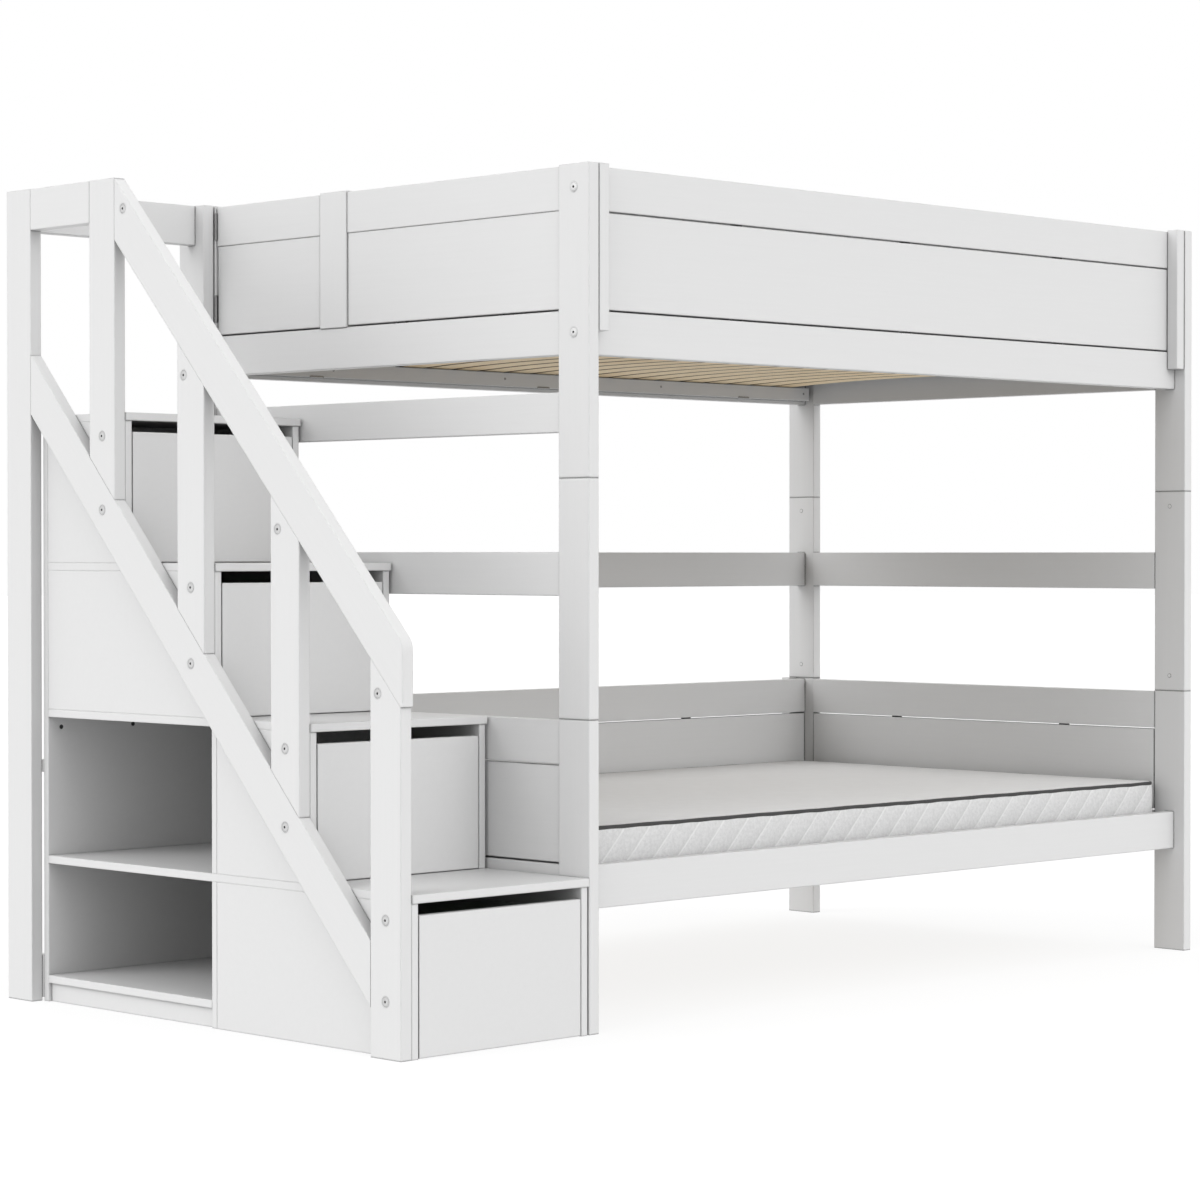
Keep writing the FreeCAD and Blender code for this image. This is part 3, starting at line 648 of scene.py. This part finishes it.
def moulded_plastic(name):
    """Dark plastic with the fine dimples of its mould."""
    material, nodes, shader = new_material(name)
    dimples = noise(nodes, object_places(nodes, dimple_scale), detail=2.0)
    gloss = span(nodes, dimples, *plastic_gloss)
    relief = bump(nodes, dimples, *dimple_relief)
    wire(nodes, shader, Base_Color=toned(nodes, dimples, plastic_tones), Roughness=gloss, Normal=relief)
    return material


plastic = moulded_plastic("dark_plastic")
paint(coated_board("drawer_box_board"), [f"drawer_{step}_box" for step in steps])
paint(plastic, ["spacer_blocks", "stair_packers"])
print("board and plastic on", len(steps), "boxes and the spacers")

# %% Zinc and enamel
cloud_scale = (220.0, 220.0, 220.0)
cloud_roughness = 0.65
zinc_gloss = (0.28, 0.45)
zinc_relief = (0.3, 0.02 * millimetre)
enamel_scale = (900.0, 900.0, 900.0)
enamel_tones = (0.79, 0.82)
enamel_gloss = (0.30, 0.42)


def zinc_plate(name, *tones):
    """Zinc-plated steel: cloudy patches over a fine grain."""
    material, nodes, shader = new_material(name)
    clouds = noise(nodes, object_places(nodes, cloud_scale), detail=5.0, roughness=cloud_roughness)
    gloss = span(nodes, clouds, *zinc_gloss)
    relief = bump(nodes, clouds, *zinc_relief)
    wire(nodes, shader, Base_Color=toned(nodes, clouds, tones), Roughness=gloss, Normal=relief)
    shader.inputs["Metallic"].default_value = 1.0
    return material


def white_enamel(name):
    """Baked white enamel: a soft peel that shifts gloss and colour a little."""
    material, nodes, shader = new_material(name)
    peel = noise(nodes, object_places(nodes, enamel_scale), detail=2.0)
    gloss = span(nodes, peel, *enamel_gloss)
    wire(nodes, shader, Base_Color=toned(nodes, peel, enamel_tones), Roughness=gloss)
    return material


zinc = zinc_plate("zinc_plate", 0.60, 0.70)
# Darker zinc: the plate of hinges, screws and clips, and painted shade in the bolts' grooves and the caps'
# collars.
dark_zinc_and_painted_shade = zinc_plate("dark_zinc_and_painted_shade", 0.27, 0.35)
enamel = white_enamel("white_enamel")
paint(zinc, ["drawer_runners", "connector_bolts", "cam_fittings"])
paint(dark_zinc_and_painted_shade, ["gate_hinge_post_leaves", "gate_hinge_gate_leaves"])
print("metals:", zinc.name, dark_zinc_and_painted_shade.name, enamel.name)

# %% [markdown]
# ## The mattresses
# A foam mattress in a quilted cover: a crowned top, a border stitched in diagonals, and a dark tape over
# the seam between the two. A cloth simulation would puff the whole cover evenly, but what shows is the
# stitching, which follows a rule, so the cover is one surface with the stitches in its formula. Columns
# go round the mattress; rows climb from the middle of the underside, up the border and in to the middle
# of the top, where the rings have shrunk to a line. A UV layer counts the stitches, so that the cloth's
# threads lie in the furrows of the mesh.

# %% The outline, one lap round
corner_radius = 35.0 * millimetre
end_slack = 14.0 * millimetre
draw_in = 4.0 * millimetre
edge_roll = 14.0 * millimetre
crown_height = 3.0 * millimetre
long_columns = 240
short_columns = 144
corner_columns = 12


def lap(half_length, half_width, radius, bow):
    """Points and outward directions once round a rounded rectangle, front side first.

    Sides are straight lines drawn in by bow times the sine of their share; corners are quarter circles.
    """
    across, along = half_length - radius, half_width - radius
    share_long = np.arange(long_columns) / long_columns
    share_short = np.arange(short_columns) / short_columns
    quarter = np.arange(corner_columns) / corner_columns * np.pi / 2
    points, facing = [], []
    for turn in range(4):
        long_side = turn % 2 == 0
        share = share_long if long_side else share_short
        reach, beside = (across, along) if long_side else (along, across)
        depth = half_width if long_side else half_length
        side_x = np.concatenate([(2 * share - 1) * reach, reach + radius * np.sin(quarter)])
        side_y = np.concatenate([bow * np.sin(np.pi * share) - depth, -beside - radius * np.cos(quarter)])
        angle = turn * np.pi / 2
        turned_x = np.cos(angle) * side_x - np.sin(angle) * side_y
        turned_y = np.sin(angle) * side_x + np.cos(angle) * side_y
        points.append(np.stack([turned_x, turned_y], axis=-1))
        facing.append(angle - np.pi / 2 + np.concatenate([np.zeros_like(share), quarter]))
    facing = np.concatenate(facing)
    return np.concatenate(points), np.stack([np.cos(facing), np.sin(facing)], axis=-1)


def laid(level):
    """The box of a mattress as it lies: against the left end, a little short of the right one."""
    low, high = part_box(f"{level}_mattress")
    return low, (high[0] - end_slack, high[1], high[2])


for level in levels:
    print(level, "mattress lies in", [round(v, 3) for corner in laid(level) for v in corner])

# %% The cover
border_rows = 26
top_rows = 40
under_rows = 8
section_power = 4.0
zone_power = 8
quilt_pitch = 76.0 * millimetre
quilt_depth = 2.2 * millimetre
quilt_power = 0.6
straight_inset = 0.3


def section(height, crown, half_width):
    """Inset and height of each row, from the underside's middle to the top's, and how much it is quilted.

    The border is a superellipse, (1 - inset / roll)^n + |level|^n = 1, and the crown a quarter sine.
    """
    level = np.sin(np.linspace(-np.pi / 2, np.pi / 2, border_rows))
    inset = edge_roll * (1 - (1 - np.abs(level) ** section_power) ** (1 / section_power))
    rise = (level + 1) / 2 * height
    inner = np.linspace(edge_roll, half_width, top_rows + 1)[1:]
    top = height + crown * np.sin(np.linspace(0, np.pi / 2, top_rows + 1)[1:])
    under = np.linspace(half_width, edge_roll, under_rows + 1)[:-1]
    zone = np.concatenate([np.zeros(under_rows), 1 - level ** zone_power, np.zeros(top_rows)])
    return np.concatenate([under, inset, inner]), np.concatenate([np.zeros(under_rows), rise, top]), zone


def number_stitches(cover, travel, lap_length, rises, pitch):
    """A UV layer for each quad's corners: u along the lap and v up the rows, both counted in pitches."""
    shape = (len(rises) - 1, len(travel))
    left = np.broadcast_to(travel / pitch, shape)
    right = np.broadcast_to(np.append(travel[1:], lap_length) / pitch, shape)
    below = np.broadcast_to(rises[:-1, None] / pitch, shape)
    above = np.broadcast_to(rises[1:, None] / pitch, shape)
    places = np.stack([left, below, right, below, right, above, left, above], axis=-1)
    stitches = cover.data.uv_layers.new(name="stitches")
    stitches.uv.foreach_set("vector", places.astype(np.float32).ravel())


def mattress_cover(name, low, high):
    """A closed cover that fills the box from low to high.

    Each row is a lap shrunk by its inset. Along the border it is drawn in by
    d (1 - |sin(pi (s - z) / p)|^q), with s the way round, z the height and p the pitch, which gives
    furrows at 45 degrees.
    """
    half_length, half_width = (high[0] - low[0]) / 2, (high[1] - low[1]) / 2
    middle = np.array([(low[0] + high[0]) / 2, (low[1] + high[1]) / 2])
    insets, rises, zone = section(high[2] - low[2] - crown_height, crown_height, half_width)
    outline, facing = lap(half_length, half_width, corner_radius, draw_in)
    travel = np.concatenate([[0.0], np.cumsum(np.linalg.norm(np.diff(outline, axis=0), axis=1))])
    lap_length = travel[-1] + np.linalg.norm(outline[0] - outline[-1])
    pitch = lap_length / round(lap_length / quilt_pitch)
    stitched = np.abs(np.sin(np.pi * (travel[None, :] - rises[:, None]) / pitch)) ** quilt_power
    rings = []
    for inset in insets:
        bow = draw_in * max(0.0, 1 - inset / straight_inset)
        rings.append(lap(half_length - inset, half_width - inset, max(corner_radius - inset, 0.0), bow)[0])
    puff = quilt_depth * (stitched - 1) * zone[:, None]
    rings = np.array(rings) + facing[None] * puff[..., None]
    rows, columns = rings.shape[:2]
    z = np.broadcast_to((low[2] + rises)[:, None, None], (rows, columns, 1))
    points = np.concatenate([rings + middle, z], axis=-1).reshape(-1, 3)
    cover = new_mesh(name, points, grid_faces(rows, columns, closed=True))
    number_stitches(cover, travel, lap_length, rises, pitch)
    row = np.repeat(np.arange(rows - 1), columns)
    bordered = (row >= under_rows) & (row < under_rows + border_rows - 1)
    cover.data.polygons.foreach_set("material_index", bordered.astype(np.int32))
    return cover, lap_length


covers = {}
for level in levels:
    cover, around = mattress_cover(f"{level}_mattress_cover", *laid(level))
    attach(cover, "bed_frame")
    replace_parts(cover, f"{level}_mattress")
    covers[level] = cover
    print(cover.name, len(cover.data.polygons), "faces,", round(around, 3), "m round")

# %% The tape over the seam
tape_half_height = 4.3 * millimetre
tape_half_width = 3.2 * millimetre
tape_inset = 5.0 * millimetre
tape_lift = 4.9 * millimetre
tape_wander = 0.5 * millimetre
# How often each sine goes up and down in one lap, and where it starts.
tape_waves = ((17, 0.0), (41, 1.0))
tape_power = 0.6
tape_rows = 14


def squared(values, power):
    """A sine or cosine raised to a power with its sign kept, which squares off an ellipse."""
    return np.sign(values) * np.abs(values) ** power


def seam_tape(name, low, high):
    """A flat bead swept once round the upper seam.

    Its section is the superellipse (w sgn(c) |c|^p, h sgn(s) |s|^p), with c and s the cosine and sine of
    the row's angle. Two sines of unlike length let it wander a little in height, as sewn tape does.
    """
    half_length, half_width = (high[0] - low[0]) / 2, (high[1] - low[1]) / 2
    middle = np.array([(low[0] + high[0]) / 2, (low[1] + high[1]) / 2])
    radius = corner_radius - tape_inset
    outline, facing = lap(half_length - tape_inset, half_width - tape_inset, radius, draw_in)
    angle = np.linspace(0, 2 * np.pi, tape_rows, endpoint=False)[:, None]
    out = tape_half_width * squared(np.cos(angle), tape_power)
    up = tape_half_height * squared(np.sin(angle), tape_power)
    turn = np.arange(len(outline)) / len(outline) * 2 * np.pi
    sines = [np.sin(number * turn + start) for number, start in tape_waves]
    wander = tape_wander * np.mean(sines, axis=0)
    flat = outline[None] + facing[None] * out[..., None] + middle
    seam = high[2] - crown_height - tape_lift
    z = (seam + up + wander[None, :])[..., None]
    points = np.concatenate([flat, z], axis=-1)
    return new_mesh(name, points.reshape(-1, 3), grid_faces(*flat.shape[:2], closed=True, looped=True))


tapes = {}
for level in levels:
    tape = seam_tape(f"{level}_mattress_tape", *laid(level))
    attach(tape, "bed_frame")
    tapes[level] = tape
    print(tape.name, len(tape.data.polygons), "faces")

# %% [markdown]
# ## Ticking and tape
# Ticking is a pale knit, so its finish is rough, with fine loops as a bump and a trace of sheen. The top's
# cloth is painted lighter and the border's darker, as painted light on the top and painted shade on the
# sides.
# The border is mottled, and a pale line, part thread and part painted highlight, runs in a furrow along
# every
# stitched diagonal: the UV layer's u minus v is a whole number there, and a ping-pong node turns it into
# the distance from the nearest line.

# %% Cloth
cloth_share = 0.55
cloth_roughness = 0.9
cloth_sheen = 0.15
# Painted light and shade: the top's cloth is lighter than the border's, for the light on the top and the
# shade on the sides.
top_tones_painted_light = (0.88, 0.91)
border_tones_painted_shade = (0.66, 0.80)
blotch_scale = (30.0, 30.0, 30.0)
mottle_scale = (130.0, 130.0, 130.0)
mottle_roughness = 0.7
loop_scale = (900.0, 900.0, 1400.0)
loop_relief = (0.6, 0.4 * millimetre)
# Painted highlight and thread: a pale line along each stitched diagonal.
thread_highlight_tone = (0.95, 0.95, 0.95, 1.0)
thread_highlight_cover = [(0.02, 0.55), (0.055, 0.0)]
furrow_shape = [(0.0, 0.0), (0.05, 0.6), (0.16, 0.95), (0.3, 1.0)]
furrow_relief = (1.0, 1.0 * millimetre)


def knitted(nodes, shader, colour, under=None):
    """Knit of that colour: rough, with fine loops over another normal and a little sheen."""
    loops = noise(nodes, object_places(nodes, loop_scale), detail=3.0)
    wire(nodes, shader, Base_Color=colour, Normal=bump(nodes, loops, *loop_relief, under))
    shader.inputs["Roughness"].default_value = cloth_roughness
    shader.inputs["Sheen Weight"].default_value = cloth_sheen


def ticking(name):
    """The top's pale cloth, a little blotchy, painted lighter than the border for the light on the top."""
    material, nodes, shader = new_material(name)
    blotch = noise(nodes, object_places(nodes, blotch_scale), detail=3.0)
    knitted(nodes, shader, passed_on(nodes, toned(nodes, blotch, top_tones_painted_light), cloth_share))
    return material


def quilted_ticking(name):
    """Border cloth: a mottled knit painted darker than the top for the shade on the sides, with a pale
    line, part thread and part painted highlight, in a narrow furrow along every stitched diagonal.
    """
    material, nodes, shader = new_material(name)
    place = nodes.nodes.new("ShaderNodeUVMap")
    place.uv_map = "stitches"
    parts = nodes.nodes.new("ShaderNodeSeparateXYZ")
    nodes.links.new(place.outputs["UV"], parts.inputs[0])
    diagonal = chained(nodes, "SUBTRACT", parts.outputs["X"], parts.outputs["Y"])
    beside = chained(nodes, "PINGPONG", diagonal, 0.5)
    mottle = noise(nodes, object_places(nodes, mottle_scale), detail=4.0, roughness=mottle_roughness)
    # Painted highlight and thread: a pale line in the middle of each furrow.
    thread_highlight = ramp(nodes, beside, thread_highlight_cover)
    cloth = blended(nodes, "MIX", thread_highlight, toned(nodes, mottle, border_tones_painted_shade), thread_highlight_tone)
    puffed = bump(nodes, ramp(nodes, beside, furrow_shape), *furrow_relief)
    knitted(nodes, shader, passed_on(nodes, cloth, bounce_share), puffed)
    return material


# %% Tape
rib_scale = (700.0, 700.0, 1200.0)
rib_tones = (0.040, 0.075)
rib_relief = (0.6, 0.3 * millimetre)
tape_roughness = 0.8


def woven_tape(name):
    """Dark grey tape: ribs of a fine weave, a little paler where they are worn."""
    material, nodes, shader = new_material(name)
    ribs = noise(nodes, object_places(nodes, rib_scale), detail=3.0)
    relief = bump(nodes, ribs, *rib_relief)
    wire(nodes, shader, Base_Color=toned(nodes, ribs, rib_tones), Normal=relief)
    shader.inputs["Roughness"].default_value = tape_roughness
    return material


top_cloth = ticking("ticking_cloth")
border_cloth = quilted_ticking("quilted_ticking")
tape_cloth = woven_tape("woven_tape")
for level in levels:
    covers[level].data.materials.append(top_cloth)
    covers[level].data.materials.append(border_cloth)
    tapes[level].data.materials.append(tape_cloth)
print("cloth:", top_cloth.name, border_cloth.name, tape_cloth.name)

# %% [markdown]
# ## Bolts and cams
# The CAD bolts are plain discs. A real head has a rounded rim, a fine groove and a deep hexagon socket,
# which is what catches the eye, so each head is revolved here: rows run from the seat over the rim,
# through the groove, across the face and down the socket to its floor. A circle turns into a hexagon by
# letting the radius follow the angle. The groove's floor and the socket carry painted shade: darker zinc in
# the groove, dark plastic in the socket. The heads stand where the CAD solids stand: those on the posts are
# white, those on the staircase are zinc-plated like the cams outside the niche; the cams in the niche are
# dark plastic.

# %% Profiles of the heads
head_columns = 36
rim_rows = 6
rim_radius = 0.7 * millimetre
groove_depth = 0.5 * millimetre
groove_reach = np.array([0.90, 0.89, 0.84, 0.83])
groove_sink = np.array([0.0, 1.0, 1.0, 0.0])
socket_across = 5.0 * millimetre
socket_depth = 2.5 * millimetre
socket_ease = 0.2 * millimetre
socket_reach = np.array([1.7, 1.08, 1.0, 1.0, 0.0])


def head_section(radius, thickness):
    """Radius, height above the seat and share of hexagon of each row, and the finish of each strip.

    A strip lies between two rows. The rim is a quarter circle, a groove runs inside it, and the last
    rows go down the socket and to the axis. Finish 1, painted shade in darker zinc, is for the groove's
    floor, and 2, painted shade in dark plastic, for the socket.
    """
    quarter = np.linspace(0, np.pi / 2, rim_rows)
    rim = radius - rim_radius * (1 - np.cos(quarter))
    climb = thickness - rim_radius * (1 - np.sin(quarter))
    sunk = thickness - groove_depth * groove_sink
    drop = thickness - np.array([0.0, 0.0, socket_ease, socket_depth, socket_depth])
    reach = np.concatenate([[radius], rim, radius * groove_reach, socket_across / 2 * socket_reach])
    height = np.concatenate([[0.0], climb, sunk, drop])
    six_sided = np.zeros(len(reach))
    six_sided[-len(socket_reach) + 1:] = 1.0
    # Finishes 1 and 2 are painted shade: darker zinc on the groove's floor and dark plastic down the
    # socket.
    finish = np.zeros(len(reach) - 1, np.int32)
    groove_floor = 1 + rim_rows + 1
    finish[groove_floor] = 1
    finish[-2:] = 2
    return reach, height, six_sided, finish


def dome_section(radius, thickness):
    """Caps and screws: a quarter ellipse (r cos q, t sin q) from rim to middle, with a collar of painted
    shade.
    """
    quarter = np.linspace(0, np.pi / 2, rim_rows + 2)
    # The outer part of the dome gets finish 1, a ring of painted shade.
    shade_collar = np.arange(rim_rows + 1) < rim_rows // 2
    return radius * np.cos(quarter), thickness * np.sin(quarter), np.zeros(rim_rows + 2), shade_collar


# %% Heads from their profiles
def head(seat, out, radius, thickness, profile):
    """Points of one head; r(a) = flat / cos(a mod 60 - 30 degrees) turns a row into a hexagon."""
    reach, height, six_sided, _ = profile(radius, thickness)
    angle = np.linspace(0, 2 * np.pi, head_columns, endpoint=False)
    hexagon = 1 / np.cos(np.mod(angle, np.pi / 3) - np.pi / 6)
    r = reach[:, None] * (1 + six_sided[:, None] * (hexagon[None] - 1))
    up = np.array([0.0, 0.0, 1.0])
    across = np.cross(up, out)
    flat = across * (r * np.cos(angle))[..., None] + up * (r * np.sin(angle))[..., None]
    return np.array(seat) + out * height[:, None, None] + flat


def heads(name, places, finish, profile=head_section):
    """One piece with a head at each place; grooves and sockets get painted shade, in darker zinc and dark
    plastic.
    """
    piece = repeated_mesh(name, [head(*place, profile) for place in places])
    # The second and third materials paint shade: darker zinc in grooves and collars, dark plastic in
    # sockets.
    for material in (finish, dark_zinc_and_painted_shade, plastic):
        piece.data.materials.append(material)
    strips = profile(*places[0][2:])[3].astype(np.int32)
    piece.data.polygons.foreach_set("material_index", np.tile(np.repeat(strips, head_columns), len(places)))
    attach(piece, "bed_frame")
    print(name, len(places), "heads")
    return piece


# %% Where the bolts and cams are
rim_share = 0.8
cam_crown = 0.8 * millimetre
stair_slit = 5.0 * millimetre


def bolt_place(points):
    """Where a CAD bolt's head sits: the widest points are its rim, at the end that shows."""
    low, high = points.min(0), points.max(0)
    middle = (low + high) / 2
    radius = (high[1] - low[1]) / 2
    rim = points[np.abs(points[:, 1] - middle[1]) > rim_share * radius, 0]
    facing = 1.0 if rim.mean() > middle[0] else -1.0
    seat, face = (rim.min(), rim.max()) if facing > 0 else (rim.max(), rim.min())
    return (seat, middle[1], middle[2]), np.array([facing, 0.0, 0.0]), radius, abs(face - seat)


def cam_place(points, axis):
    """Where a CAD cam shows: at its low end along the axis, facing outwards."""
    low, high = points.min(0), points.max(0)
    seat = (low + high) / 2
    seat[axis] = low[axis]
    return seat, -np.eye(3)[axis], (high[2] - low[2]) / 2, cam_crown


bed_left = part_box("front_left_post")[0][0] - stair_slit
outer_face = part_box("front_newel")[0][0] + millimetre
bolt_places = [bolt_place(points) for points in solids_of("connector_bolts")]
cams = solids_of("cam_fittings")
outer_cams = [cam_place(points, 0) for points in cams if points[:, 0].min() < outer_face]
niche_cams = [cam_place(points, 1) for points in cams if points[:, 0].min() >= outer_face]
for name, places, finish, node in (
    ("post_bolts", [place for place in bolt_places if place[0][0] > bed_left], enamel, "connector_bolts"),
    ("stair_bolts", [place for place in bolt_places if place[0][0] <= bed_left], zinc, "connector_bolts"),
    ("stair_cams", outer_cams, zinc, "cam_fittings"),
    ("niche_cams", niche_cams, plastic, "cam_fittings"),
):
    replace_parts(heads(name, places, finish), node)

# %% [markdown]
# ## Caps, screws and clips
# Small trim that the photograph shows and that is too slight for the CAD model: white caps beside the
# joints of the posts, and screws and clips along the ledgers that carry the slats. Caps and screws are
# low domes made by the same function as the bolts, with another profile. A clip is a superellipsoid,
# which is an ellipsoid squared off by a power, and so a bar with soft edges.

# %% Caps on the posts and screws in the ledgers
cap_radius = 5.5 * millimetre
cap_rise = 1.0 * millimetre
cap_from_joint = 37.0 * millimetre
screw_radius = 3.2 * millimetre
screw_pitch = 551.0 * millimetre
screw_from_end = 23.0 * millimetre
screw_below_top = 16.0 * millimetre

cap_places = []
for side in sides:
    for end, out in zip(ends, (1.0, -1.0)):
        low, high = (np.array(corner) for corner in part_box(f"{side}_{end}_post"))
        inner = high[0] if out > 0 else low[0]
        for z in (post_joints[0] + cap_from_joint, post_joints[-1] - cap_from_joint):
            seat = (inner, (low[1] + high[1]) / 2, z)
            cap_places.append((seat, np.array([out, 0.0, 0.0]), cap_radius, cap_rise))
heads("post_caps", cap_places, enamel, dome_section)

bed_middle = sum(corner[1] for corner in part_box("upper_slats")) / 2
ledgers = []
for points in solids_of("slat_ledgers"):
    low, high = points.min(0), points.max(0)
    behind = (low[1] + high[1]) / 2 > bed_middle
    ledgers.append((low, high, low[1] if behind else high[1], -1.0 if behind else 1.0))
screw_places = []
for low, high, face, out in ledgers:
    for x in np.arange(high[0] - screw_from_end, low[0], -screw_pitch):
        seat = (x, face, high[2] - screw_below_top)
        screw_places.append((seat, np.array([0.0, out, 0.0]), screw_radius, cap_rise))
heads("ledger_screws", screw_places, dark_zinc_and_painted_shade, dome_section)

# %% Clips under the ledgers
clip_half = np.array([21.0, 2.0, 2.2]) * millimetre
clip_from_end = 271.0 * millimetre
clip_pitch = 733.0 * millimetre
clip_count = 3
clip_rows = 9
clip_columns = 24
clip_power = 0.3


def clip(middle):
    """A superellipsoid: (a cos^e v cos^e u, b cos^e v sin^e u, c sin^e v)."""
    v = np.linspace(-np.pi / 2, np.pi / 2, clip_rows)[:, None]
    u = np.linspace(0, 2 * np.pi, clip_columns, endpoint=False)[None, :]
    girth = squared(np.cos(v).clip(0.0), clip_power)
    x = girth * squared(np.cos(u), clip_power)
    y = girth * squared(np.sin(u), clip_power)
    z = squared(np.sin(v), clip_power)
    return middle + clip_half * np.stack(np.broadcast_arrays(x, y, z), axis=-1)


clip_grids = []
for low, _, face, _ in ledgers:
    for x in low[0] + clip_from_end + np.arange(clip_count) * clip_pitch:
        clip_grids.append(clip(np.array([x, face, low[2]])))
clips = repeated_mesh("ledger_clips", clip_grids)
clips.data.materials.append(dark_zinc_and_painted_shade)
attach(clips, "bed_frame")
print(clips.name, len(clip_grids), "clips")
